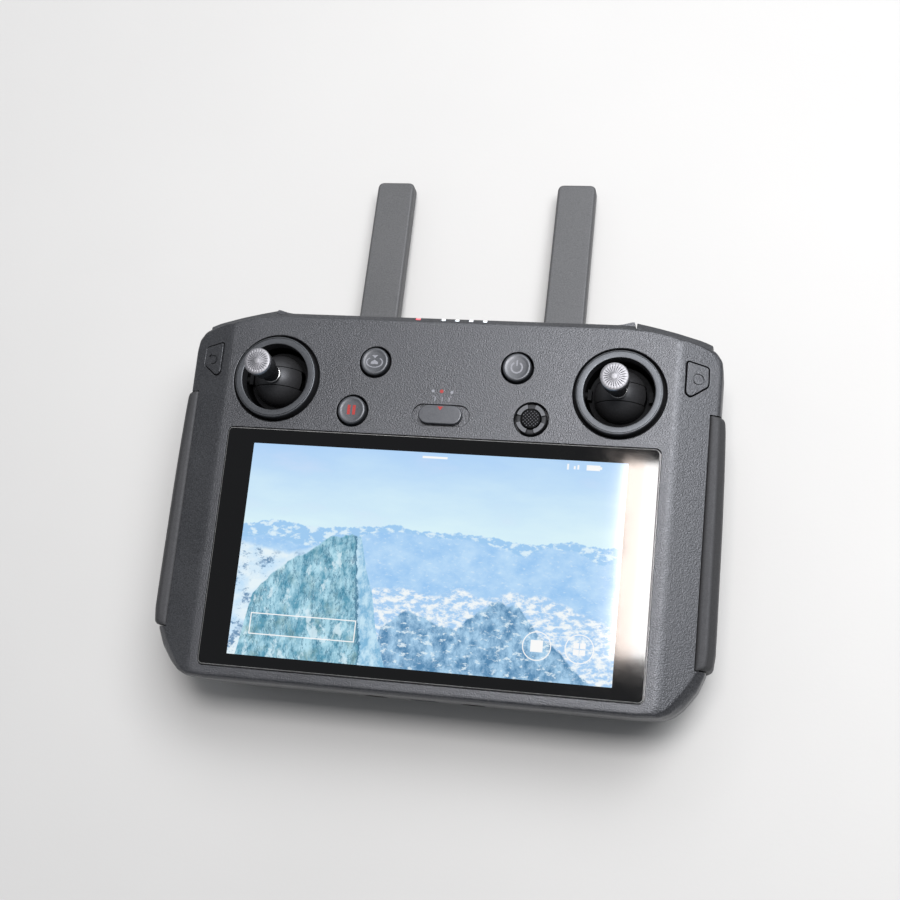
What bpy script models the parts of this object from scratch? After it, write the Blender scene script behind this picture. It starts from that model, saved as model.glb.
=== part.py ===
"""Handheld radio transmitter with a touch screen, two stick gimbals and two folding antennas.

Design frame: the lit screen's centre on the front face is the origin, +X is the user's right,
+Y runs towards the antennas and +Z comes out of the screen. The empty "controller" carries it
all, so that the unit lies on its two rear grips on z = 0, centred over the origin.

Lengths are millimetres here. The mesh helpers turn them into metres.
"""
import math

import bmesh
import bpy
from mathutils import Matrix, Vector

MM = 0.001

# Overall layout
GRIP_BACK = 40.0
CENTRE_BACK = 28.0
PARTING = 14.0
SHELL_GAP = 0.3
WALL = 2.4
FRONT_WALL = 2.2
TOP_EDGE = 79.7
BOTTOM_EDGE = -42.5
GAP = 0.35

# Front face: flat to the crease, then a facet that falls away to each side
CREASE_X = 74.0
FACET_ANGLE = math.radians(21.0)

# Half outline of the front from top centre to bottom centre, as stations of four points:
# flat face (x, y), crease (x, y, z), edge (x, y, z) and outer wall (x, y)
STATIONS = (
    ((0.0, 77.5), (0.0, 77.9, -0.20), (0.0, 79.5, -1.5), (0.0, TOP_EDGE)),
    ((56.0, 77.5), (56.0, 77.9, -0.20), (56.0, 79.5, -1.5), (56.0, TOP_EDGE)),
    ((65.2, 76.8), (65.4, 77.2, -0.20), (65.7, 78.6, -1.5), (65.8, 78.8)),
    ((71.5, 75.4), (71.8, 75.8, -0.30), (72.3, 77.1, -1.6), (72.5, 77.4)),
    ((74.0, 74.4), (76.2, 74.7, -0.80), (76.9, 75.9, -2.1), (77.1, 76.2)),
    ((74.0, 73.0), (81.0, 73.4, -2.70), (81.7, 74.4, -3.7), (81.9, 74.6)),
    ((74.0, 70.0), (84.4, 71.9, -4.00), (85.1, 72.6, -4.7), (85.4, 72.8)),
    ((74.0, 67.0), (86.2, 69.4, -4.70), (87.0, 69.9, -5.2), (87.3, 70.1)),
    ((74.0, 64.5), (86.8, 66.0, -4.90), (87.5, 66.3, -5.4), (87.8, 66.4)),
    ((74.0, -22.0), (86.8, -22.6, -4.90), (87.5, -24.2, -5.5), (87.8, -25.0)),
    ((74.0, -24.5), (86.0, -26.1, -4.60), (87.2, -27.0, -5.9), (87.8, -27.6)),
    ((74.0, -29.5), (83.0, -31.5, -3.45), (84.6, -32.4, -5.2), (85.6, -33.0)),
    ((74.0, -35.0), (79.2, -36.9, -2.00), (80.8, -37.6, -3.9), (81.9, -38.1)),
    ((73.8, -38.4), (76.5, -39.8, -1.00), (78.0, -40.4, -2.6), (79.0, -40.7)),
    ((72.4, -40.5), (73.6, -41.3, -0.35), (75.0, -41.8, -1.9), (75.8, -42.1)),
    ((68.0, -41.1), (68.0, -41.6, -0.25), (68.0, -42.4, -1.5), (68.0, BOTTOM_EDGE)),
    ((0.0, -41.1), (0.0, -41.6, -0.25), (0.0, -42.4, -1.5), (0.0, BOTTOM_EDGE)),
)
WALL_START = 6.6
WALL_X = 87.8
RIDGE = ((54.0, 78.0), (59.4, 78.0), (59.4, 80.5), (58.5, 80.45), (54.0, 79.3))

# Rear grips
GRIP_TOP = 50.0
GRIP_FLAT_TOP = 20.0
GRIP_FLAT_BOTTOM = -28.0
GRIP_END_DEPTH = 32.0
REAR_EXTRA_SECTIONS = (50.0, 43.0, 35.0, 27.0, 20.0)
PAD_TOP = 51.8
PAD_BOTTOM = -26.6
PAD_MAX_X = 90.2
PAD_SUNK = 1.8
PAD_SHARES = (
    (PAD_TOP, 0.55), (45.0, 0.66), (35.0, 0.78), (20.0, 0.90), (0.0, 0.96),
    (-14.0, 1.0), (-21.0, 1.0), (PAD_BOTTOM, 0.75),
)

# Screen
SCREEN_Y = 0.55
GLASS_SIZE = (140.7, 77.3)
GLASS_RADIUS = 1.6
GLASS_TOP = 0.5
LIT_SIZE = (121.76, 68.49)
GASKET_SIZE = (139.6, 76.2)
FRAME_SIZE = (143.6, 78.4)

# Stick gimbals
GIMBAL_X = 56.4
GIMBAL_Y = 56.55
PIVOT_Z = -4.5
GIMBAL_HOLE_R = 14.65
RING_R = 13.7
RING_INNER_R = 11.15
RING_TOP = 1.9
DOME_R = 8.5
STICK_TOP = 20.0

# Front controls
BUTTON_R = 4.6
BUTTON_HOLE_R = 5.25
BUTTON_TOP = 1.25
ROUND_BUTTONS = {
    "home_button": (-23.4, 63.4),
    "pause_button": (-29.3, 46.8),
    "power_button": (23.4, 63.4),
}
FIVE_WAY = (29.3, 46.8)
FIVE_WAY_HOLE_R = 5.55
MODE_SWITCH = (0.0, 46.7)
MODE_RECESS = (18.8, 6.9)
MODE_RECESS_DEPTH = 0.75
MODE_SLOT = (11.0, 3.2)
MODE_NECK = (6.0, 2.4)
MODE_KNOB = (14.2, 6.2)
LAMP_XS = (-11.0, -2.6, 2.0, 6.6, 11.2)
LAMP_Z = -1.85

# Shoulder controls, right-hand side; the left side mirrors them
KEY_PRESS = 1.2
KEY_ANGLE = math.radians(18.0)
KEY_OUTER = ((60.0, 80.7), (66.0, 79.4), (72.6, 78.0), (81.0, 75.9), (84.2, 74.6))
KEY_LIP = ((59.55, 78.1), (65.5, 77.5), (72.0, 76.1), (81.0, 73.9), (84.5, 72.9))
KEY_DEPTH = 3.5
KEY_FRONT = -2.0
KEY_FALL = 0.13
KEY_BACK = -15.4
DIAL_CENTRE = (69.0, 70.4)
DIAL_R = 8.8
DIAL_FRONT = -17.7
DIAL_BACK = -22.7

# Antennas
ANTENNA_X = 32.7
HINGE_Y = 73.0
HINGE_Z = -31.0
ANTENNA_LEAN = math.radians(4.0)
ANTENNA_WIDTH = 14.1
ANTENNA_THICKNESS = 5.5
ANTENNA_REACH = 67.4
PIN_R = 1.15

# Back face
REAR_BUTTON = (61.0, 56.5)
REAR_SCREWS = ((20.0, 64.0), (44.5, 64.0), (33.0, -38.5))
FAN_CENTRE = (0.0, 12.0)
SPEAKER_CENTRE = (-34.0, -30.0)
TRAY_Y = -24.0
TRAY_SIZE = (42.0, 13.4)
TRAY_DEPTH = 9.0

# The unit lies centred over the origin, from its bottom edge to the antenna tips
ANTENNA_TIP = HINGE_Y + ANTENNA_REACH * math.cos(ANTENNA_LEAN)
CENTRE_Y = (BOTTOM_EDGE + ANTENNA_TIP) / 2.0

COLOURS = {
    "shell_plastic": ((0.060, 0.062, 0.067), 0.55, 0.0),
    "antenna_plastic": ((0.085, 0.086, 0.088), 0.50, 0.0),
    "grip_rubber": ((0.045, 0.045, 0.047), 0.80, 0.0),
    "button_plastic": ((0.050, 0.052, 0.057), 0.38, 0.0),
    "soft_black": ((0.015, 0.015, 0.016), 0.70, 0.0),
    "gimbal_plastic": ((0.020, 0.020, 0.022), 0.40, 0.0),
    "ring_plastic": ((0.095, 0.098, 0.105), 0.42, 0.0),
    "screen_glass": ((0.010, 0.011, 0.013), 0.05, 0.0),
    "display": ((0.350, 0.550, 0.800), 0.30, 0.0),
    "frame_metal": ((0.450, 0.450, 0.460), 0.45, 1.0),
    "bright_steel": ((0.620, 0.620, 0.630), 0.28, 1.0),
    "cap_aluminium": ((0.560, 0.560, 0.570), 0.32, 1.0),
    "circuit_board": ((0.020, 0.140, 0.070), 0.50, 0.0),
    "cell_wrap": ((0.060, 0.200, 0.420), 0.45, 0.0),
    "lamp_plastic": ((0.850, 0.860, 0.880), 0.30, 0.0),
    "screw_steel": ((0.120, 0.120, 0.125), 0.40, 1.0),
    "brass": ((0.700, 0.520, 0.250), 0.35, 1.0),
}


# ---------------------------------------------------------------- helpers

def clear_scene():
    for item in list(bpy.data.objects):
        bpy.data.objects.remove(item, do_unlink=True)


def material(slot):
    found = bpy.data.materials.get(slot)
    if found:
        return found
    colour, roughness, metallic = COLOURS[slot]
    made = bpy.data.materials.new(slot)
    made.use_nodes = True
    shader = made.node_tree.nodes["Principled BSDF"]
    shader.inputs["Base Color"].default_value = (*colour, 1.0)
    shader.inputs["Roughness"].default_value = roughness
    shader.inputs["Metallic"].default_value = metallic
    return made


def place(name, bm, slot=None, at=(0.0, 0.0, 0.0), turn=(0.0, 0.0, 0.0)):
    """Make an object under the controller empty from a mesh in millimetres."""
    bmesh.ops.recalc_face_normals(bm, faces=bm.faces)
    bm.transform(Matrix.Scale(MM, 4))
    mesh = bpy.data.meshes.new(name)
    bm.to_mesh(mesh)
    bm.free()
    made = bpy.data.objects.new(name, mesh)
    bpy.context.collection.objects.link(made)
    made.parent = CONTROLLER
    made.location = Vector(at) * MM
    made.rotation_euler = turn
    if slot:
        mesh.materials.append(material(slot))
        mesh.shade_smooth()
        mesh.set_sharp_from_angle(angle=math.radians(32.0))
    return made


def combine(target, operation, tools):
    """Apply one exact Boolean after another to the target and remove the tools."""
    for tool in tools:
        tool.hide_render = True
        tool.display_type = "WIRE"
        step = target.modifiers.new(tool.name, "BOOLEAN")
        step.operation = operation
        step.solver = "EXACT"
        step.object = tool
    bpy.context.view_layer.update()
    graph = bpy.context.evaluated_depsgraph_get()
    result = bpy.data.meshes.new_from_object(target.evaluated_get(graph))
    target.modifiers.clear()
    target.data = result
    result.name = target.name
    result.shade_smooth()
    result.set_sharp_from_angle(angle=math.radians(32.0))
    for tool in tools:
        bpy.data.objects.remove(tool, do_unlink=True)


def carve(target, *tools):
    combine(target, "DIFFERENCE", tools)


def fuse(target, *tools):
    combine(target, "UNION", tools)


def moved(bm, offset=(0.0, 0.0, 0.0), turn=None):
    if turn is not None:
        bm.transform(turn.to_4x4())
    bm.transform(Matrix.Translation(Vector(offset)))
    return bm


def loft(rings):
    """Closed solid through rings of equally many 3-D points, capped at both ends."""
    bm = bmesh.new()
    rows = [[bm.verts.new(point) for point in ring] for ring in rings]
    count = len(rows[0])
    for lower, upper in zip(rows, rows[1:]):
        for i in range(count):
            j = (i + 1) % count
            bm.faces.new((lower[i], lower[j], upper[j], upper[i]))
    bm.faces.new(list(reversed(rows[0])))
    bm.faces.new(rows[-1])
    return bm


def prism(outline, low, high):
    return loft([[(x, y, z) for x, y in outline] for z in (low, high)])


def turned(profile, steps, closed=False):
    """Solid of revolution about Z from (radius, z) points; closed makes a ring."""
    bm = bmesh.new()
    rows = []
    for radius, z in profile:
        if radius < 1e-6:
            rows.append([bm.verts.new((0.0, 0.0, z))] * steps)
            continue
        angles = [2.0 * math.pi * i / steps for i in range(steps)]
        rows.append([bm.verts.new((radius * math.cos(a), radius * math.sin(a), z)) for a in angles])
    pairs = list(zip(rows, rows[1:]))
    if closed:
        pairs.append((rows[-1], rows[0]))
    for lower, upper in pairs:
        for i in range(steps):
            j = (i + 1) % steps
            corners = [lower[i], lower[j], upper[j], upper[i]]
            unique = list(dict.fromkeys(corners))
            bm.faces.new(unique)
    return bm


def block(centre, size):
    bm = bmesh.new()
    bmesh.ops.create_cube(bm, size=1.0)
    bm.transform(Matrix.Diagonal((*size, 1.0)))
    return moved(bm, centre)


def rod(radius, length, steps=24):
    """Cylinder along Z, centred on the origin."""
    half = length / 2.0
    return prism(circle(radius, steps), -half, half)


def circle(radius, steps, centre=(0.0, 0.0)):
    angles = [2.0 * math.pi * i / steps for i in range(steps)]
    return [(centre[0] + radius * math.cos(a), centre[1] + radius * math.sin(a)) for a in angles]


def rounded_rect(width, height, radius, centre=(0.0, 0.0), steps=4):
    points = []
    corners = ((1, 1, 0.0), (-1, 1, 90.0), (-1, -1, 180.0), (1, -1, 270.0))
    for sx, sy, start in corners:
        cx = centre[0] + sx * (width / 2.0 - radius)
        cy = centre[1] + sy * (height / 2.0 - radius)
        for i in range(steps + 1):
            angle = math.radians(start + 90.0 * i / steps)
            points.append((cx + radius * math.cos(angle), cy + radius * math.sin(angle)))
    return points


def stadium(length, width, centre=(0.0, 0.0), steps=10):
    """Slot outline along X with round ends."""
    radius = width / 2.0
    reach = length / 2.0 - radius
    points = []
    for side, start in ((1, -90.0), (-1, 90.0)):
        for i in range(steps + 1):
            angle = math.radians(start + 180.0 * i / steps)
            x = centre[0] + side * reach + radius * math.cos(angle)
            points.append((x, centre[1] + radius * math.sin(angle)))
    return points


def fillet(corners, radius, steps=3):
    """Round every corner of a closed outline."""
    points = []
    count = len(corners)
    for i, corner in enumerate(corners):
        here = Vector(corner)
        before = (Vector(corners[i - 1]) - here).normalized()
        after = (Vector(corners[(i + 1) % count]) - here).normalized()
        half = before.angle(after) / 2.0
        reach = radius / math.tan(half)
        start, end = here + before * reach, here + after * reach
        for step in range(steps + 1):
            t = step / steps
            point = start * (1 - t) ** 2 + here * 2 * t * (1 - t) + end * t ** 2
            points.append((point.x, point.y))
    return points


def offset(outline, distance):
    """Move a counter-clockwise outline outwards by a distance, inwards if negative."""
    result = []
    count = len(outline)
    for i in range(count):
        here = Vector(outline[i])
        edge_in = (here - Vector(outline[i - 1])).normalized()
        edge_out = (Vector(outline[(i + 1) % count]) - here).normalized()
        normal_in = Vector((edge_in.y, -edge_in.x))
        normal_out = Vector((edge_out.y, -edge_out.x))
        miter = (normal_in + normal_out).normalized()
        stretch = distance / max(miter.dot(normal_out), 0.5)
        result.append(tuple(here + miter * stretch))
    return result


def mirrored(outline, side):
    return outline if side > 0 else [(-x, y) for x, y in reversed(outline)]


def smoothstep(value):
    value = min(max(value, 0.0), 1.0)
    return value * value * (3.0 - 2.0 * value)


def about_x(degrees):
    return Matrix.Rotation(math.radians(degrees), 3, "X")


def about_y(degrees):
    return Matrix.Rotation(math.radians(degrees), 3, "Y")


# ---------------------------------------------------------------- casing

def front_ring(index, height=None):
    """Whole counter-clockwise ring through one point of every station."""
    right = [station[index] for station in STATIONS]
    left = [(-point[0], *point[1:]) for point in right[1:-1]]
    ring = right[::-1] + left
    if height is None:
        return ring
    return [(x, y, height) for x, y in ring]


def facet_matrix(side):
    """Frame of a side facet: local X runs down the facet, local Z is its outward normal."""
    return Matrix.Translation((side * CREASE_X, 0.0, 0.0)) @ Matrix.Rotation(side * FACET_ANGLE, 4, "Y")


def facet_button_outline():
    slope = math.cos(FACET_ANGLE)
    corners = ((76.7, 68.2), (76.7, 57.9), (78.2, 57.0), (83.4, 61.0), (83.3, 66.9))
    return fillet([((x - CREASE_X) / slope, y) for x, y in corners], 0.8)


def facet_prism(side, grow, low, high):
    outline = mirrored(offset(facet_button_outline(), grow), side)
    bm = prism(outline, low, high)
    bm.transform(facet_matrix(side))
    return bm


def key_outline(grow=0.0, travel=0.0):
    """Shoulder key seen from the front: the outer edge follows the casing's slope."""
    drop = KEY_DEPTH + travel
    outer = list(KEY_OUTER)
    inner = [(x - drop * math.sin(KEY_ANGLE), y - drop * math.cos(KEY_ANGLE)) for x, y in outer]
    inner[0] = (outer[0][0], inner[0][1])
    return offset(inner + outer[::-1], grow)


def key_solid(side, grow=0.0, travel=0.0, chamfer=0.9):
    """Shoulder key, or with a chamfer of zero the plain pocket that it moves in."""
    inset = key_outline(grow - chamfer, travel)
    levels = ((inset, 0.0), (key_outline(grow, travel), chamfer)) if chamfer else ((inset, 0.0),)
    rings = []
    for outline, step in levels:
        rings.append([(side * x, y, KEY_BACK - grow + step) for x, y in outline])
    for outline, step in reversed(levels):
        rings.append([(side * x, y, key_front(x) + grow - step) for x, y in outline])
    return loft(rings)


def key_front(x):
    """Front of a shoulder key, which falls away with the casing's facet."""
    return KEY_FRONT - KEY_FALL * (x - KEY_OUTER[0][0])


def pad_section(y, share, grow):
    """Grip pad cross-section in X and Z, wrapped round the casing's side at a height y."""
    fall = grip_depth(y) - 20.0
    surface = [(84.8, -4.1), (86.9, -5.0), (WALL_X, -7.0), (WALL_X, -14.0), (WALL_X, -20.0)]
    surface += [(WALL_X - 1.2, -20.0 - 0.40 * fall), (WALL_X - 2.9, -20.0 - 0.60 * fall)]
    weights = (0.0, 0.70, 1.0, 1.0, 1.0, 0.75, 0.0)
    outer, inner = [], []
    for i, (x, z) in enumerate(surface):
        ahead = Vector(surface[min(i + 1, len(surface) - 1)])
        behind = Vector(surface[max(i - 1, 0)])
        along = (ahead - behind).normalized()
        rise = 0.05 + share * weights[i] * (PAD_MAX_X - WALL_X)
        outer.append((x - along.y * rise, z + along.x * rise))
        inner.append((x + along.y * PAD_SUNK, z - along.x * PAD_SUNK))
    ring = outer[::-1] + inner
    return offset(ring, grow) if grow else ring


def pad_solid(side, grow=0.0):
    """Soft pad on the side of a grip, swelling towards the bottom."""
    rows = []
    for y, share in PAD_SHARES:
        if y in (PAD_TOP, PAD_BOTTOM):
            y += math.copysign(grow, y)
        rows.append([(side * x, y, z) for x, z in pad_section(y, share, grow)])
    return loft(rows)


def half_width(y):
    """Half-width of the casing wall at a height y."""
    walls = [station[3] for station in STATIONS[1:-1]]
    if y >= walls[0][1]:
        return walls[0][0]
    for (x_high, y_high), (x_low, y_low) in zip(walls, walls[1:]):
        if y_low <= y <= y_high:
            return x_high + (x_low - x_high) * (y_high - y) / (y_high - y_low)
    return walls[-1][0]


def grip_depth(y):
    if y > GRIP_FLAT_TOP:
        fall = smoothstep((y - GRIP_FLAT_TOP) / (GRIP_TOP - GRIP_FLAT_TOP))
        return GRIP_BACK - (GRIP_BACK - CENTRE_BACK) * fall
    if y < GRIP_FLAT_BOTTOM:
        fall = smoothstep((GRIP_FLAT_BOTTOM - y) / (GRIP_FLAT_BOTTOM - BOTTOM_EDGE))
        return GRIP_BACK - (GRIP_BACK - GRIP_END_DEPTH) * fall
    return GRIP_BACK


def end_rounding(y):
    """How far the back draws in near the top and bottom edges."""
    distance = min(TOP_EDGE - y, y - BOTTOM_EDGE)
    return 2.2 * (1.0 - min(distance / 3.0, 1.0)) ** 2


def rear_section(y, inset):
    """Cross-section of the rear casing at y; inset moves it inwards by the wall thickness."""
    width = half_width(y)
    if inset:
        shifted = y + inset if y > 0.0 else y - inset
        width = min(width - inset, half_width(shifted) - 1.0)
    deep = grip_depth(y) - end_rounding(y) - inset
    middle = CENTRE_BACK - end_rounding(y) - inset
    top = -PARTING - SHELL_GAP / 2.0 if not inset else -PARTING + 1.0
    turn = 20.0
    fall = deep - turn
    half = [(width, top), (width, -turn), (width - 1.2, -turn - 0.40 * fall)]
    half += [(width - 4.0, -turn - 0.72 * fall), (width - 8.5, -turn - 0.93 * fall)]
    half.append((width - 13.0, -deep))
    inner = ((57.5, 17.0, 1.0), (51.0, 19.0, 0.8), (46.5, 21.0, 0.25), (43.0, 23.0, 0.0))
    for x, margin, share in inner:
        half.append((min(x + inset, width - margin), -middle - share * (deep - middle)))
    left = [(-x, z) for x, z in reversed(half)]
    return [(x, y, z) for x, z in half + left]


def rear_solid(inset=0.0):
    heights = [station[3][1] for station in STATIONS[1:-1]] + list(REAR_EXTRA_SECTIONS)
    if inset:
        low, high = BOTTOM_EDGE + inset, TOP_EDGE - inset
        heights = [low, high] + [y for y in heights[::2] if low + 0.5 < y < high - 0.5]
    return loft([rear_section(y, inset) for y in sorted(set(heights))])


def front_solid():
    walls = [(x, y) for x, y in front_ring(3)]
    heights = (-PARTING + SHELL_GAP / 2.0, -WALL_START)
    rings = [[(x, y, z) for x, y in walls] for z in heights]
    rings += [front_ring(2), front_ring(1), front_ring(0, 0.0)]
    return loft(rings)


def front_cavity():
    walls = offset(front_ring(3), -WALL)
    face = offset(front_ring(0), -1.2)
    edges = front_ring(2)
    rings = [[(x, y, -PARTING - 1.0) for x, y in walls]]
    rings.append([(x, y, edge[2] - 2.2) for (x, y), edge in zip(walls, edges)])
    rings.append([(x, y, -FRONT_WALL) for x, y in face])
    return loft(rings)


def make_front_shell():
    shell = place("front_shell", front_solid(), "shell_plastic")
    for side in (-1, 1):
        ridge = mirrored(list(RIDGE), side)
        fuse(shell, place("ridge", prism(ridge, -12.0, -1.7)))
    glass_hole = (GLASS_SIZE[0] + 2 * GAP, GLASS_SIZE[1] + 2 * GAP)
    holes = [
        place("cavity", front_cavity()),
        place("screen_hole", prism(rounded_rect(*glass_hole, GLASS_RADIUS, (0.0, SCREEN_Y)), -4.0, 2.0)),
        place("mode_recess", prism(stadium(*MODE_RECESS, MODE_SWITCH), -MODE_RECESS_DEPTH, 2.0)),
        place("mode_slot", prism(stadium(*MODE_SLOT, MODE_SWITCH), -4.0, 0.1 - MODE_RECESS_DEPTH)),
        place("five_way_hole", prism(circle(FIVE_WAY_HOLE_R, 28, FIVE_WAY), -4.0, 2.0)),
    ]
    for name, centre in ROUND_BUTTONS.items():
        holes.append(place(name + "_hole", prism(circle(BUTTON_HOLE_R, 28, centre), -4.0, 2.0)))
    for x in LAMP_XS:
        holes.append(place("lamp_hole", block((x, 77.1, LAMP_Z), (2.1, 6.4, 2.4))))
    for side in (-1, 1):
        hole = circle(GIMBAL_HOLE_R, 44, (side * GIMBAL_X, GIMBAL_Y))
        holes.append(place("gimbal_hole", prism(hole, -4.0, 2.0)))
        holes.append(place("facet_hole", facet_prism(side, GAP, -6.0, 2.0)))
        pocket = place("key_pocket", key_solid(side, GAP, KEY_PRESS, 0.0))
        beyond = [(x, TOP_EDGE + 3.0) for x, _ in reversed((KEY_LIP[0], KEY_LIP[-1]))]
        fuse(pocket, place("key_lip_cut", prism(mirrored(list(KEY_LIP) + beyond, side), -6.0, 1.0)))
        holes.append(pocket)
    holes += [place("pad_recess", pad_solid(side, GAP)) for side in (-1, 1)]
    carve(shell, *holes)


def bar_slots(name, centre, size, count, pitch, low, high):
    """A row of round-ended slots along X, stacked in Y."""
    slots = []
    for i in range(count):
        y = centre[1] + (i - (count - 1) / 2.0) * pitch
        slots.append(place(name, prism(stadium(*size, (centre[0], y), 3), low, high)))
    return slots


def make_rear_shell():
    shell = place("rear_shell", rear_solid(), "shell_plastic")
    carve(shell, place("cavity", rear_solid(WALL)))
    lugs = []
    for side in (-1, 1):
        for edge in (-1, 1):
            x = side * ANTENNA_X + edge * (ANTENNA_WIDTH / 2.0 + 1.9)
            outline = fillet([(-3.6, -3.2), (3.6, -3.2), (3.6, 4.2), (-3.6, 4.2)], 2.2)
            lug = moved(prism(outline, -1.3, 1.3), (0, 0, 0), about_x(90.0) @ about_y(90.0))
            lugs.append(place("lug", moved(lug, (x, HINGE_Y, HINGE_Z))))
    fuse(shell, *lugs)
    holes = bar_slots("intake", FAN_CENTRE, (26.0, 2.2), 6, 4.6, -29.0, -25.0)
    holes += bar_slots("speaker_slot", SPEAKER_CENTRE, (12.0, 1.3), 3, 3.0, -29.0, -25.0)
    tray = rounded_rect(TRAY_SIZE[0] + 2 * GAP, TRAY_SIZE[1] + 2 * GAP, 2.0, (0.0, TRAY_Y))
    holes.append(place("tray_hole", prism(tray, -29.0, -25.0)))
    for side in (-1, 1):
        bore = moved(rod(PIN_R + 0.3, 24.0, 12), (0, 0, 0), about_y(90.0))
        holes.append(place("pin_bore", moved(bore, (side * ANTENNA_X, HINGE_Y, HINGE_Z))))
        holes.append(place("key_pocket", key_solid(side, GAP, KEY_PRESS, 0.0)))
        holes.append(place("pad_recess", pad_solid(side, GAP)))
        dial = circle(DIAL_R + 0.5, 28, (side * DIAL_CENTRE[0], DIAL_CENTRE[1]))
        holes.append(place("dial_slot", prism(dial, DIAL_BACK - 0.4, DIAL_FRONT + 0.4)))
        button = circle(BUTTON_R + GAP, 22, (side * REAR_BUTTON[0], REAR_BUTTON[1]))
        holes.append(place("rear_button_hole", prism(button, -29.0, -25.0)))
        for x, y in REAR_SCREWS:
            holes.append(place("screw_head_hole", prism(circle(2.6, 12, (side * x, y)), -29.0, -26.6)))
            holes.append(place("screw_hole", prism(circle(1.4, 8, (side * x, y)), -26.7, -25.0)))
    holes += port_holes()
    carve(shell, *holes)


# ---------------------------------------------------------------- ports

PORTS = {
    "card_slot": (-19.0, 1, (13.0, 2.2), 0.3),
    "hdmi_port": (-1.5, 1, (14.9, 5.6), 1.0),
    "usb_a_port": (18.5, 1, (14.2, 6.6), 0.5),
    "usb_c_port": (0.0, -1, (9.2, 3.4), 1.6),
}
PORT_Z = -19.5
INSERT_X = 16.0
INSERT_R = 3.6


def port_prism(name, grow, start, end):
    """Solid along Y with the outline of one socket, from start to end behind the casing edge."""
    x, end_side, size, radius = PORTS[name]
    edge = TOP_EDGE if end_side > 0 else BOTTOM_EDGE
    outline = rounded_rect(size[0] + 2 * grow, size[1] + 2 * grow, max(radius + grow, 0.2), steps=2)
    bm = moved(prism(outline, -end, -start), (0, 0, 0), about_x(-90.0 * end_side))
    return moved(bm, (x, edge, PORT_Z))


def port_holes():
    holes = [place(name + "_hole", port_prism(name, GAP, -1.0, 4.0)) for name in PORTS]
    for side in (-1, 1):
        bore = moved(rod(INSERT_R + GAP, 6.0, 16), (0, 0, 0), about_x(90.0))
        holes.append(place("insert_hole", moved(bore, (side * INSERT_X, BOTTOM_EDGE + 1.5, PORT_Z))))
    return holes


def make_ports():
    for name, (x, end_side, size, radius) in PORTS.items():
        port = place(name, port_prism(name, 0.0, 0.4, 10.4), "bright_steel")
        carve(port, place("mouth", port_prism(name, -0.55, -1.0, 9.2)))
        edge = TOP_EDGE if end_side > 0 else BOTTOM_EDGE
        tongue = (size[0] * 0.62, 7.4, min(size[1] * 0.24, 1.5))
        if name != "card_slot":
            fuse(port, place("tongue", block((x, edge - end_side * 6.2, PORT_Z), tongue)))
    for label, side in (("left", -1), ("right", 1)):
        profile = [(1.9, 0.4), (INSERT_R - 0.4, 0.4), (INSERT_R, 0.8), (INSERT_R, 7.0), (1.9, 7.0)]
        insert = moved(turned(profile, 16, True), (0, 0, 0), about_x(-90.0))
        at = (side * INSERT_X, BOTTOM_EDGE, PORT_Z)
        place("bracket_insert_" + label, moved(insert, at), "brass")


# ---------------------------------------------------------------- screen and inside

def make_screen():
    outline = rounded_rect(*GLASS_SIZE, GLASS_RADIUS, (0.0, SCREEN_Y))
    bevelled = offset(outline, -0.4)
    levels = ((outline, -1.0), (outline, GLASS_TOP - 0.35), (bevelled, GLASS_TOP))
    glass = loft([[(x, y, z) for x, y in ring] for ring, z in levels])
    place("screen_glass", glass, "screen_glass")
    lcd = (LIT_SIZE[0] + 2.6, LIT_SIZE[1] + 2.6)
    place("lcd_panel", prism(rounded_rect(*lcd, 1.0), -4.3, -1.3), "display")
    opening = (lcd[0] + 2 * GAP, lcd[1] + 2 * GAP)
    gasket_outline = rounded_rect(*GASKET_SIZE, 1.2, (0.0, SCREEN_Y))
    gasket = place("screen_gasket", prism(gasket_outline, -2.1, -1.3), "soft_black")
    carve(gasket, place("gasket_hole", prism(rounded_rect(*opening, 1.2), -4.0, 1.0)))
    frame_outline = rounded_rect(*FRAME_SIZE, 2.0, (0.0, SCREEN_Y))
    frame = place("screen_frame", prism(frame_outline, -5.6, -2.6), "frame_metal")
    carve(frame, place("frame_hole", prism(rounded_rect(*opening, 1.2), -7.0, 0.0)))


def make_electronics():
    board = place("main_board", prism(rounded_rect(98.0, 68.0, 2.0), -8.4, -6.8), "circuit_board")
    chips = ((-20.0, -20.0, 16.0, 12.0), (6.0, -22.0, 12.0, 12.0), (30.0, 8.0, 10.0, 18.0))
    fuse(board, *[place("chip", block((x, y, -8.9), (w, h, 1.4))) for x, y, w, h in chips])
    sink = place("heat_sink", block((0.0, 12.0, -10.2), (44.0, 40.0, 2.6)), "frame_metal")
    fins = [place("fin", block((0.0, 12.0 + y, -12.4), (44.0, 1.4, 3.4))) for y in range(-18, 19, 4)]
    fuse(sink, *fins)
    speaker = rounded_rect(20.0, 12.0, 2.0, SPEAKER_CENTRE)
    place("speaker", prism(speaker, -25.2, -20.4), "soft_black")
    for label, side in (("left", -1), ("right", 1)):
        profile = [(0.0, -32.5), (9.1, -32.5), (9.1, 31.5), (3.0, 31.5), (2.6, 32.6), (0.0, 32.6)]
        cell = moved(turned(profile, 20), (0, 0, 0), about_x(-90.0))
        place("battery_cell_" + label, moved(cell, (side * 65.0, -3.5, -23.4)), "cell_wrap")


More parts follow.
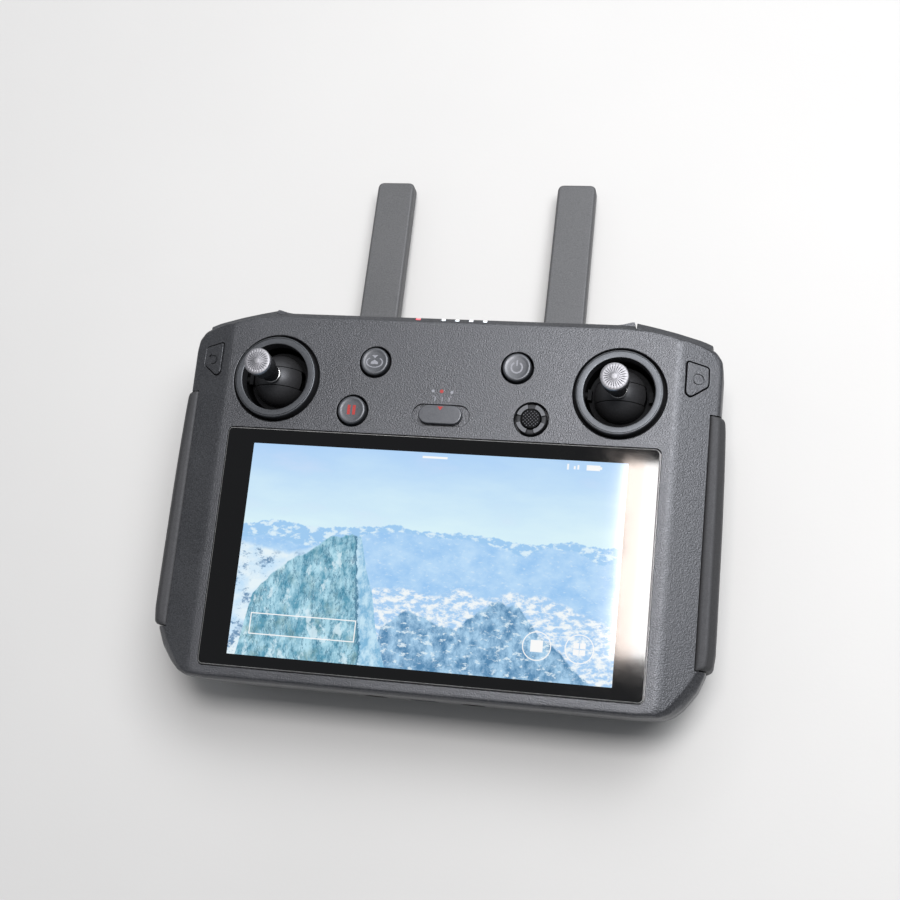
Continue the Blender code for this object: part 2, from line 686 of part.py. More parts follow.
def make_fan():
    x, y = FAN_CENTRE
    frame = rounded_rect(42.0, 42.0, 3.0, FAN_CENTRE)
    housing = place("fan_housing", prism(frame, -24.9, -15.0), "soft_black")
    carve(housing, place("fan_bore", prism(circle(18.6, 28, FAN_CENTRE), -26.0, -16.2)))
    fuse(housing, place("fan_post", moved(rod(1.5, 7.0, 16), (x, y, -19.2))))
    outline = []
    blades = 9
    hub, middle, tip = 6.5, 12.0, 17.9
    blade = ((0.0, hub), (0.10, middle), (0.22, tip), (0.32, tip), (0.24, middle), (0.30, hub), (0.65, hub))
    for i in range(blades):
        start = 2.0 * math.pi * i / blades
        for share, radius in blade:
            angle = start + share * 2.0 * math.pi / blades
            outline.append((radius * math.cos(angle), radius * math.sin(angle)))
    rotor = place("fan_rotor", prism(outline, -3.2, 3.2), "gimbal_plastic", (x, y, -20.2))
    carve(rotor, place("rotor_bore", moved(rod(1.9, 8.0, 16), (x, y, -20.2))))


# ---------------------------------------------------------------- stick gimbals

def sphere_band(inner, outer, last_angle, skirt):
    """Half profile of a domed shell about Z, down to an angle from the pole, then a skirt."""
    steps = 5
    angles = [math.radians(last_angle) * i / steps for i in range(steps + 1)]
    outside = [(outer * math.sin(a), outer * math.cos(a)) for a in angles]
    inside = [(inner * math.sin(a), inner * math.cos(a)) for a in reversed(angles)]
    rim = [(outer, -skirt), (inner, -skirt)] if skirt else []
    return outside + rim + inside


def make_gimbal(label, side):
    centre = (side * GIMBAL_X, GIMBAL_Y, 0.0)
    pivot = (side * GIMBAL_X, GIMBAL_Y, PIVOT_Z)
    ring_profile = [(RING_INNER_R, -2.6), (RING_R, -2.6), (RING_R, RING_TOP - 0.5)]
    ring_profile += [(RING_R - 0.5, RING_TOP), (RING_INNER_R + 0.3, RING_TOP), (RING_INNER_R, RING_TOP - 0.3)]
    place("gimbal_ring_" + label, turned(ring_profile, 44, True), "ring_plastic", centre)

    cup_profile = [(0.0, -16.4), (13.0, -16.4), (13.0, -4.3), (15.3, -4.3), (15.3, -2.9)]
    cup_profile += [(11.4, -2.9), (11.4, -14.6), (0.0, -14.6)]
    cup = place("gimbal_cup_" + label, turned(cup_profile, 28), "gimbal_plastic", centre)
    socket = moved(rod(1.5, 26.8, 12), (0, 0, 0), about_y(90.0))
    carve(cup, place("trunnion_socket", socket, None, pivot))

    dome = turned(sphere_band(7.3, DOME_R, 90.0, 3.4), 28)
    yoke = place("gimbal_yoke_" + label, dome, "gimbal_plastic", pivot)
    slot = block((0.0, 0.0, 3.4), (20.0, 6.7, 13.8))
    carve(yoke, place("slider_slot", slot, None, pivot))
    collar = turned([(8.3, -3.4), (10.3, -3.4), (10.3, -1.5), (8.3, -1.5)], 28, True)
    parts = [place("collar", collar, None, pivot)]
    for end in (-1, 1):
        parts.append(place("boss", block((end * 9.65, 0.0, -1.0), (1.2, 3.4, 4.6)), None, pivot))
        pin = moved(rod(1.15, 3.0, 12), (0, 0, 0), about_y(90.0))
        parts.append(place("trunnion", moved(pin, (end * 11.3, 0.0, 0.0)), None, pivot))
    fuse(yoke, *parts)

    band = turned(sphere_band(7.4, DOME_R - 0.05, 73.0, 0.0), 28)
    slider = place("stick_slider_" + label, band, "gimbal_plastic", pivot)
    for end in (-1, 1):
        carve(slider, place("trim", block((0.0, end * 8.0, 0.0), (20.0, 10.0, 20.0)), None, pivot))
    post = place("post", moved(rod(1.7, 7.6, 12), (0.0, 0.0, 4.3)), None, pivot)
    shaft = place("cross_shaft", moved(rod(1.1, 13.6, 12), (0, 0, 0), about_x(90.0)), None, pivot)
    fuse(slider, post, shaft)

    top = STICK_TOP - PIVOT_Z
    base = DOME_R + 0.3
    stem_profile = [(0.0, base), (2.6, base), (2.9, base + 0.3), (2.9, base + 1.0), (1.5, base + 1.2)]
    stem_profile += [(1.5, base + 6.0), (0.0, base + 6.0)]
    place("stick_stem_" + label, turned(stem_profile, 16), "bright_steel", pivot)
    low = base + 1.5
    cap_profile = [(1.85, low), (2.9, low), (2.8, low + 3.6), (3.3, low + 5.6), (4.15, low + 7.2)]
    cap_profile += [(4.25, top - 0.9), (3.7, top), (0.0, top)]
    cap_profile = [(0.0, low + 5.2), (1.85, low + 5.2)] + cap_profile
    place("stick_cap_" + label, turned(cap_profile, 20), "cap_aluminium", pivot)


# ---------------------------------------------------------------- buttons and switches

def make_front_buttons():
    for name, (x, y) in ROUND_BUTTONS.items():
        profile = [(0.0, -3.4), (BUTTON_R, -3.4), (BUTTON_R, BUTTON_TOP - 0.55)]
        profile += [(BUTTON_R - 0.4, BUTTON_TOP - 0.1), (BUTTON_R - 1.4, BUTTON_TOP), (0.0, BUTTON_TOP)]
        place(name, turned(profile, 28), "button_plastic", (x, y, 0.0))
    for name, side in (("back_button", -1), ("confirm_button", 1)):
        bm = facet_prism(side, 0.0, -2.6, 0.3)
        place(name, bm, "button_plastic")
    at = (*MODE_SWITCH, 0.0)
    knob = stadium(*MODE_KNOB)
    crown = stadium(MODE_KNOB[0] - 0.8, MODE_KNOB[1] - 0.8)
    levels = ((knob, 0.35 - MODE_RECESS_DEPTH), (knob, 0.8), (crown, 1.3))
    body = loft([[(x, y, z) for x, y in ring] for ring, z in levels])
    switch = place("mode_switch", body, "button_plastic", at)
    neck = place("neck", prism(stadium(*MODE_NECK), -2.8, 0.2), None, at)
    plate = place("plate", prism(rounded_rect(15.6, 6.0, 1.0), -3.2, -2.5), None, at)
    fuse(switch, neck)
    fuse(switch, plate)


def make_five_way():
    x, y = FIVE_WAY
    cradle = turned([(3.6, -1.2), (6.2, -1.2), (6.2, -0.2), (3.6, -0.2)], 20, True)
    place("five_way_cradle", cradle, "gimbal_plastic", (x, y, -3.8))
    rocker_profile = [(3.45, -3.3), (4.9, -3.3), (4.9, 0.4), (4.5, 0.7), (3.8, 0.8), (3.45, 0.7)]
    rocker = place("five_way_rocker", turned(rocker_profile, 28, True), "button_plastic", (x, y, 0.0))
    marks = []
    for i in range(4):
        turn = Matrix.Rotation(math.pi / 2 * i, 3, "Z")
        notch = moved(block((4.4, 0.0, 0.9), (1.3, 0.9, 0.7)), (0, 0, 0), turn)
        marks.append(place("notch", notch, None, (x, y, 0.0)))
    carve(rocker, *marks)
    cap_profile = [(0.0, -4.6), (2.0, -4.6), (2.0, -3.4), (3.1, -3.2), (3.1, 0.9), (2.7, 1.25), (0.0, 1.35)]
    place("five_way_cap", turned(cap_profile, 20), "button_plastic", (x, y, 0.0))


def make_shoulder_controls():
    sides = (("record_key", "tilt_dial", -1), ("shutter_key", "settings_dial", 1))
    for key_name, dial_name, side in sides:
        place(key_name, key_solid(side), "button_plastic")
        teeth = 20
        outline = []
        for i in range(2 * teeth):
            angle = math.pi * i / teeth
            radius = DIAL_R if i % 2 else DIAL_R - 0.5
            outline.append((radius * math.cos(angle), radius * math.sin(angle)))
        half = (DIAL_FRONT - DIAL_BACK) / 2.0
        middle = (DIAL_FRONT + DIAL_BACK) / 2.0
        at = (side * DIAL_CENTRE[0], DIAL_CENTRE[1], middle)
        levels = ((0.94, -half), (1.0, 0.5 - half), (1.0, half - 0.5), (0.94, half))
        rims = [[(x * share, y * share, z) for x, y in outline] for share, z in levels]
        place(dial_name, loft(rims), "soft_black", at)
    for name, side in (("rear_button_left", -1), ("rear_button_right", 1)):
        profile = [(0.0, -29.1), (BUTTON_R - 1.0, -29.1), (BUTTON_R - 0.2, -28.8), (BUTTON_R, -28.5)]
        profile += [(BUTTON_R, -25.4), (BUTTON_R + 1.0, -25.2), (BUTTON_R + 1.0, -24.4), (0.0, -24.4)]
        place(name, turned(profile, 22), "button_plastic", (side * REAR_BUTTON[0], REAR_BUTTON[1], 0.0))


def make_light_guide():
    bar = place("light_guide", block((0.1, 75.3, -3.5), (26.0, 1.6, 1.9)), "lamp_plastic")
    fuse(bar, *[place("prong", block((x, 77.0, LAMP_Z), (1.5, 4.4, 1.7))) for x in LAMP_XS])


# ---------------------------------------------------------------- antennas and fasteners

def antenna_solid():
    """Paddle standing on its hinge knuckle: flat faces, bevelled edges and a round-cornered tip."""
    half = ANTENNA_WIDTH / 2.0
    top = ANTENNA_REACH
    tip_half = half - 0.35
    corners = [(-half, 0.0), (half, 0.0), (tip_half, top), (-tip_half, top)]
    full = corners[:2] + fillet(corners, 2.2, 4)[10:]
    face = offset(full, -1.0)
    thick = ANTENNA_THICKNESS / 2.0
    levels = ((face, -thick), (full, -thick + 1.0), (full, thick - 1.0), (face, thick))
    return loft([[(x, y, z) for x, y in ring] for ring, z in levels])


def make_antennas():
    for label, side in (("left", -1), ("right", 1)):
        at = (side * ANTENNA_X, HINGE_Y, HINGE_Z)
        turn = (-ANTENNA_LEAN, 0.0, 0.0)
        blade = place("antenna_" + label, antenna_solid(), "antenna_plastic", at, turn)
        barrel = rod(ANTENNA_THICKNESS / 2.0 - 0.04, ANTENNA_WIDTH - 0.1, 20)
        knuckle = moved(barrel, (0, 0, 0), about_y(90.0))
        fuse(blade, place("knuckle", knuckle, None, at, turn))
        bore = moved(rod(PIN_R + 0.3, 20.0, 14), (0, 0, 0), about_y(90.0))
        carve(blade, place("bore", bore, None, at, turn))
        pin = moved(rod(PIN_R, 20.4, 14), (0, 0, 0), about_y(90.0))
        place("hinge_pin_" + label, pin, "bright_steel", at)


def make_tray():
    outer = rounded_rect(*TRAY_SIZE, 1.8, (0.0, TRAY_Y))
    flange = offset(outer, 1.4)
    inner = offset(outer, -0.02)
    levels = ((outer, -27.8), (outer, -25.2), (flange, -25.1), (flange, -24.2), (inner, -24.1))
    levels += ((inner, -27.8 + TRAY_DEPTH + 1.2),)
    tray = place("stick_tray", loft([[(x, y, z) for x, y in ring] for ring, z in levels]), "soft_black")
    pockets = []
    for side in (-1, 1):
        size = (TRAY_SIZE[0] / 2.0 - 2.2, TRAY_SIZE[1] - 2.8)
        pocket = rounded_rect(*size, 2.0, (side * TRAY_SIZE[0] / 4.0, TRAY_Y))
        pockets.append(place("pocket", prism(pocket, -29.0, -27.8 + TRAY_DEPTH)))
    carve(tray, *pockets)


def make_screws():
    number = 1
    for side in (-1, 1):
        for x, y in REAR_SCREWS:
            profile = [(0.0, 0.7), (0.9, 0.0), (2.2, 0.0), (2.2, 1.0), (1.05, 1.0), (1.05, 7.0), (0.0, 7.2)]
            place("rear_screw_%d" % number, turned(profile, 10), "screw_steel", (side * x, y, -27.9))
            number += 1


clear_scene()
CONTROLLER = bpy.data.objects.new("controller", None)
bpy.context.collection.objects.link(CONTROLLER)
CONTROLLER.location = (0.0, -CENTRE_Y * MM, GRIP_BACK * MM)

make_front_shell()
make_rear_shell()
for pad_label, pad_side in (("left", -1), ("right", 1)):
    place("grip_pad_" + pad_label, pad_solid(pad_side), "grip_rubber")
make_ports()
make_screen()
make_electronics()
make_fan()
make_gimbal("left", -1)
make_gimbal("right", 1)
make_front_buttons()
make_five_way()
make_shoulder_controls()
make_light_guide()
make_antennas()
make_tray()
make_screws()
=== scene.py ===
"""Looks of the handheld radio transmitter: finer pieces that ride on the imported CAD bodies.

Shapes are drawn in millimetres in the design frame (lit screen's centre on the front face is the
origin, +X to the user's right, +Y towards the antennas, +Z out of the screen) and are turned into
the row frame by TO_ROW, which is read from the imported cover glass.
"""

import math

import bmesh
import bpy
import numpy as np
from mathutils import Matrix, Vector


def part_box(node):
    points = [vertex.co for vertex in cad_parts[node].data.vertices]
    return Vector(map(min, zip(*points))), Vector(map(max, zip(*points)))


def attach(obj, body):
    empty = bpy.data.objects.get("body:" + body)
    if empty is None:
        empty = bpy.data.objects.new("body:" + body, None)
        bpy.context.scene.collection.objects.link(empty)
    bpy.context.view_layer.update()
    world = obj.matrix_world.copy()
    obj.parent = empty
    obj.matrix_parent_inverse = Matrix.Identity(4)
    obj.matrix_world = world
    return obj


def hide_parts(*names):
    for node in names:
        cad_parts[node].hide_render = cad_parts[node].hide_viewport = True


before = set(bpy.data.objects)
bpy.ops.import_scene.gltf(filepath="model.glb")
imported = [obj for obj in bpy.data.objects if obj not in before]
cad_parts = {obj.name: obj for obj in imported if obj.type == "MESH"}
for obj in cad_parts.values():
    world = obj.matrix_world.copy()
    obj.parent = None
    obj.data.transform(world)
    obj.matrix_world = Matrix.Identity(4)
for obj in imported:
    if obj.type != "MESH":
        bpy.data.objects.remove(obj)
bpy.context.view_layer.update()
SCENE = bpy.context.scene
MM = 0.001

# Design dimensions, as in the CAD
PARTING = 14.0
SHELL_GAP = 0.3
WALL = 2.4
FRONT_WALL = 2.2
TOP_EDGE = 79.7
BOTTOM_EDGE = -42.5
GAP = 0.35
CREASE_X = 74.0
FACET_ANGLE = math.radians(21.0)
STATIONS = (
    ((0.0, 77.5), (0.0, 77.9, -0.20), (0.0, 79.5, -1.5), (0.0, TOP_EDGE)),
    ((56.0, 77.5), (56.0, 77.9, -0.20), (56.0, 79.5, -1.5), (56.0, TOP_EDGE)),
    ((65.2, 76.8), (65.4, 77.2, -0.20), (65.7, 78.6, -1.5), (65.8, 78.8)),
    ((71.5, 75.4), (71.8, 75.8, -0.30), (72.3, 77.1, -1.6), (72.5, 77.4)),
    ((74.0, 74.4), (76.2, 74.7, -0.80), (76.9, 75.9, -2.1), (77.1, 76.2)),
    ((74.0, 73.0), (81.0, 73.4, -2.70), (81.7, 74.4, -3.7), (81.9, 74.6)),
    ((74.0, 70.0), (84.4, 71.9, -4.00), (85.1, 72.6, -4.7), (85.4, 72.8)),
    ((74.0, 67.0), (86.2, 69.4, -4.70), (87.0, 69.9, -5.2), (87.3, 70.1)),
    ((74.0, 64.5), (86.8, 66.0, -4.90), (87.5, 66.3, -5.4), (87.8, 66.4)),
    ((74.0, -22.0), (86.8, -22.6, -4.90), (87.5, -24.2, -5.5), (87.8, -25.0)),
    ((74.0, -24.5), (86.0, -26.1, -4.60), (87.2, -27.0, -5.9), (87.8, -27.6)),
    ((74.0, -29.5), (83.0, -31.5, -3.45), (84.6, -32.4, -5.2), (85.6, -33.0)),
    ((74.0, -35.0), (79.2, -36.9, -2.00), (80.8, -37.6, -3.9), (81.9, -38.1)),
    ((73.8, -38.4), (76.5, -39.8, -1.00), (78.0, -40.4, -2.6), (79.0, -40.7)),
    ((72.4, -40.5), (73.6, -41.3, -0.35), (75.0, -41.8, -1.9), (75.8, -42.1)),
    ((68.0, -41.1), (68.0, -41.6, -0.25), (68.0, -42.4, -1.5), (68.0, BOTTOM_EDGE)),
    ((0.0, -41.1), (0.0, -41.6, -0.25), (0.0, -42.4, -1.5), (0.0, BOTTOM_EDGE)),
)
WALL_START = 6.6
WALL_X = 87.8
GRIP_BACK = 40.0
CENTRE_BACK = 28.0
GRIP_TOP = 50.0
GRIP_FLAT_TOP = 20.0
GRIP_FLAT_BOTTOM = -28.0
GRIP_END_DEPTH = 32.0
PAD_TOP = 51.8
PAD_BOTTOM = -26.6
PAD_MAX_X = 90.2
PAD_SUNK = 1.8
PAD_SHARES = (
    (PAD_BOTTOM, 0.75), (-21.0, 1.0), (-14.0, 1.0), (0.0, 0.96),
    (20.0, 0.90), (35.0, 0.78), (45.0, 0.66), (PAD_TOP, 0.55),
)
SCREEN_Y = 0.55
GLASS_SIZE = (140.7, 77.3)
GLASS_RADIUS = 1.6
GLASS_TOP = 0.5
LIT_SIZE = (121.76, 68.49)
GIMBAL_X = 56.4
GIMBAL_Y = 56.55
PIVOT_Z = -4.5
GIMBAL_HOLE_R = 14.65
RING_R = 13.7
RING_INNER_R = 11.15
RING_TOP = 1.9
DOME_R = 8.5
STICK_TOP = 20.0
BUTTON_R = 4.6
BUTTON_HOLE_R = 5.25
BUTTON_TOP = 1.25
BUTTON_DISH = 0.14
ROUND_BUTTONS = {"home": (-23.4, 63.4), "pause": (-29.3, 46.8), "power": (23.4, 63.4)}
FIVE_WAY = (29.3, 46.8)
FIVE_WAY_HOLE_R = 5.55
MODE_SWITCH = (0.0, 46.7)
MODE_RECESS = (18.8, 6.9)
MODE_RECESS_DEPTH = 0.75
MODE_SLOT = (11.0, 3.2)
MODE_NECK = (6.0, 2.4)
MODE_KNOB = (14.2, 6.2)
LAMP_XS = (-11.0, -2.6, 2.0, 6.6, 11.2)
LAMP_Z = -1.85
KEY_PRESS = 1.2
KEY_ANGLE = math.radians(18.0)
KEY_OUTER = ((60.0, 80.8), (66.0, 79.8), (72.6, 78.5), (81.0, 76.4), (84.2, 75.1))
KEY_LIP = ((59.55, 78.1), (65.5, 77.5), (72.0, 76.1), (81.0, 73.9), (84.5, 72.9))
KEY_DEPTH = 3.5
KEY_FRONT = -2.0
KEY_FALL = 0.13
KEY_BACK = -15.4
DIAL_CENTRE = (69.0, 70.4)
DIAL_R = 8.8
DIAL_FRONT = -17.7
DIAL_BACK = -22.7
ANTENNA_X = 32.7
HINGE_Y = 73.0
HINGE_Z = -31.0
ANTENNA_LEAN = math.radians(4.0)
ANTENNA_WIDTH = 14.1
ANTENNA_THICKNESS = 5.5
ANTENNA_REACH = 67.4
PIN_R = 1.15
REAR_BUTTON = (61.0, 56.5)
REAR_SCREWS = ((20.0, 64.0), (44.5, 64.0), (33.0, -38.5))
FAN_CENTRE = (0.0, 12.0)
SPEAKER_CENTRE = (-34.0, -30.0)
TRAY_Y = -24.0
TRAY_SIZE = (42.0, 13.4)
TRAY_DEPTH = 9.0
PORTS = {
    "card_slot": (-19.0, 1, (13.0, 2.2), 0.3),
    "hdmi_port": (-1.5, 1, (14.9, 5.6), 1.0),
    "usb_a_port": (18.5, 1, (14.2, 6.6), 0.5),
    "usb_c_port": (0.0, -1, (9.2, 3.4), 1.6),
}
PORT_Z = -19.5
INSERT_X = 16.0
INSERT_R = 3.6
CUTTER_TOP = 1.6
HOLE_LOW = -4.0
BACK_INNER = -25.0
SCREW_SEAT = -26.6
CAMERA_LENS = 56.467
CAMERA_PLACE = (99.25, -58.53, 426.99)
CAMERA_RIGHT = (0.97573075, 0.09946269, -0.19508121)
CAMERA_UP = (-0.05390743, 0.9725777, 0.22624456)
CAMERA_BACK = (0.21223453, -0.21023745, 0.95433575)
QUARTER = math.pi / 2.0
SIDES = (("left", -1), ("right", 1))

glass_low, glass_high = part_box("screen_glass")
ORIGIN = Vector((
    (glass_low.x + glass_high.x) / 2.0,
    (glass_low.y + glass_high.y) / 2.0 - SCREEN_Y * MM,
    glass_high.z - GLASS_TOP * MM,
))
TO_ROW = Matrix.Translation(ORIGIN) @ Matrix.Scale(MM, 4)


# Material graphs

class Value:
    """Output of a node, which arithmetic turns into further nodes."""

    def __init__(self, look, socket):
        self.look = look
        self.socket = socket

    def __add__(self, other):
        return self.look.calc("ADD", self, other)

    def __sub__(self, other):
        return self.look.calc("SUBTRACT", self, other)

    def __mul__(self, other):
        return self.look.calc("MULTIPLY", self, other)

    def __abs__(self):
        return self.look.calc("ABSOLUTE", self)


class Look:
    """A Principled material whose nodes are written as expressions."""

    def __init__(self, name, roughness=0.5, metallic=0.0):
        self.material = bpy.data.materials.new("look_" + name)
        self.material.use_nodes = True
        self.tree = self.material.node_tree
        self.shader = self.tree.nodes["Principled BSDF"]
        self.set("Roughness", roughness)
        self.set("Metallic", metallic)
        self.point = self.node("TexCoord", {}, "Object")

    def feed(self, socket, value):
        if isinstance(value, Value):
            self.tree.links.new(value.socket, socket)
        elif isinstance(value, tuple) and len(value) == 3 and socket.type == "RGBA":
            socket.default_value = (*value, 1.0)
        else:
            socket.default_value = value

    def set(self, name, value):
        self.feed(self.shader.inputs[name], value)

    def node(self, kind, inputs, output=0, **settings):
        made = self.tree.nodes.new("ShaderNode" + kind)
        for key, value in settings.items():
            setattr(made, key, value)
        for key, value in inputs.items():
            self.feed(made.inputs[key], value)
        return Value(self, made.outputs[output])

    def calc(self, operation, *values, clamp=False):
        return self.node("Math", dict(enumerate(values)), operation=operation, use_clamp=clamp)

    def vector(self, operation, first, second):
        return self.node("VectorMath", {0: first, 1: second}, operation=operation)

    def noise(self, scale, detail=3.0, roughness=0.55, point=None):
        inputs = {"Vector": point or self.point, "Scale": scale, "Detail": detail, "Roughness": roughness}
        return self.node("TexNoise", inputs, "Fac")

    def ramp(self, value, low, high, bottom=0.0, top=1.0):
        return self.node("MapRange", {0: value, 1: low, 2: high, 3: bottom, 4: top}, clamp=True)

    def mix(self, factor, first, second):
        return self.node("Mix", {0: factor, 6: first, 7: second}, 2, data_type="RGBA")

    def bump(self, height, depth):
        """Height field from 0 to 1 over a depth in millimetres."""
        return self.node("Bump", {"Height": height, "Distance": depth * MM, "Strength": 1.0})

    def split(self, vector):
        outputs = self.node("SeparateXYZ", {0: vector}).socket.node.outputs
        return [Value(self, output) for output in outputs]

    def join(self, x, y, z):
        return self.node("CombineXYZ", {0: x, 1: y, 2: z})

    def design_point(self):
        """Place in millimetres in the design frame."""
        shifted_point = self.vector("SUBTRACT", self.point, tuple(ORIGIN))
        return self.node("VectorMath", {0: shifted_point, "Scale": 1.0 / MM}, operation="SCALE")


def moulded(name, dark, light, roughness, grain, depth, speckle_and_glint=0.0, shine=0.5):
    """Spark-eroded plastic: fine grain in colour, gloss and height, with worn patches."""
    look = Look(name)
    fine = look.noise(grain, 2.0, 0.6)
    coarse = look.noise(grain * 0.36, 2.0, 0.5)
    broad = look.noise(38.0, 3.0, 0.5)
    colour = look.mix(look.ramp(fine * 0.75 + broad * 0.25, 0.40, 0.62), dark, light)
    # Bright specks in the colour: partly the grain's own tone, partly painted glints standing in for specks
    # of light that catch at grazing angles.
    if speckle_and_glint:
        speck_and_glint_spot = look.ramp(look.noise(grain * 1.25, 1.0, 0.5), 0.64, 0.74)
        speck_and_glint_colour = tuple(min(1.0, value * 2.4) for value in light)
        colour = look.mix(speck_and_glint_spot * speckle_and_glint, colour, speck_and_glint_colour)
    look.set("Base Color", colour)
    wear = broad * 0.5 + coarse * 0.5
    look.set("Roughness", look.ramp(wear, 0.3, 0.7, roughness - 0.07, roughness + 0.07))
    look.set("Normal", look.bump(fine * 0.8 + coarse * 0.2, depth))
    look.set("Specular IOR Level", shine)
    look.set("Specular Tint", (0.89, 0.92, 1.0))
    return look.material


def metal(name, dark, light, roughness, brushed=(1.0, 1.0, 1.0), grain=900.0, metallic=1.0):
    """Machined or drawn metal: fine lines along one direction and slight stains."""
    look = Look(name, metallic=metallic)
    lines = look.noise(grain, 3.0, 0.6, look.vector("MULTIPLY", look.point, brushed))
    stain = look.noise(60.0, 3.0, 0.55)
    look.set("Base Color", look.mix(lines * stain, dark, light))
    look.set("Roughness", look.ramp(stain, 0.3, 0.7, roughness - 0.06, roughness + 0.08))
    look.set("Normal", look.bump(lines, 0.012))
    return look.material


def printed(name, colour):
    """Screen-printed ink with a slightly uneven coat."""
    look = Look(name)
    coat = look.noise(2600.0, 2.0)
    faded = tuple(value * 0.72 for value in colour)
    look.set("Base Color", look.mix(look.ramp(coat, 0.35, 0.6), faded, colour))
    look.set("Roughness", look.ramp(coat, 0.3, 0.7, 0.38, 0.55))
    look.set("Normal", look.bump(coat, 0.01))
    return look.material


def lamp(name, colour, strength):
    look = Look(name, 0.25)
    depth = look.noise(1500.0, 2.0)
    pale = tuple(0.12 + 0.88 * value for value in colour)
    look.set("Base Color", pale)
    look.set("Emission Color", look.mix(look.ramp(depth, 0.3, 0.7), colour, pale))
    look.set("Emission Strength", strength)
    look.set("Normal", look.bump(depth, 0.02))
    return look.material


def glass_look():
    look = Look("cover_glass", 0.05)
    smear = look.noise(70.0, 4.0, 0.6)
    dust = look.ramp(look.noise(4200.0, 1.0), 0.72, 0.8)
    look.set("Base Color", look.mix(dust, (0.0035, 0.0036, 0.0040), (0.02, 0.02, 0.022)))
    look.set("Roughness", look.ramp(smear, 0.35, 0.75, 0.035, 0.10))
    look.set("IOR", 1.5)
    look.set("Normal", look.bump(look.noise(25.0, 1.0), 0.002))
    return look.material


def ring_look():
    """Turned trim ring: satin grey with concentric lines round each gimbal's own centre."""
    look = Look("ring")
    look.set("Specular IOR Level", 1.0)
    look.set("Specular Tint", (0.84, 0.90, 1.0))
    x, y, z = look.split(look.design_point())
    across = abs(x) - GIMBAL_X
    along = y - GIMBAL_Y
    radius = look.calc("SQRT", across * across + along * along)
    lines = look.noise(5.0, 3.0, 0.6, look.join(radius, z * 0.2, 0.0))
    grain = look.noise(2400.0, 2.0)
    tone = lines * 0.6 + grain * 0.4
    shade = look.ramp(tone, 0.35, 0.65)
    look.set("Base Color", look.mix(shade, (0.014, 0.014, 0.015), (0.030, 0.031, 0.034)))
    look.set("Roughness", look.ramp(grain, 0.3, 0.7, 0.36, 0.48))
    look.set("Normal", look.bump(tone, 0.02))
    return look.material


def board_look():
    look = Look("circuit_board", 0.4)
    inputs = {"Vector": look.point, "Scale": 420.0}
    grid = look.node("TexVoronoi", inputs, "Distance", feature="DISTANCE_TO_EDGE")
    tracks = look.ramp(grid, 0.03, 0.06)
    look.set("Base Color", look.mix(tracks, (0.05, 0.26, 0.13), (0.012, 0.10, 0.05)))
    look.set("Roughness", look.ramp(look.noise(300.0), 0.3, 0.7, 0.3, 0.5))
    look.set("Normal", look.bump(tracks, 0.03))
    return look.material


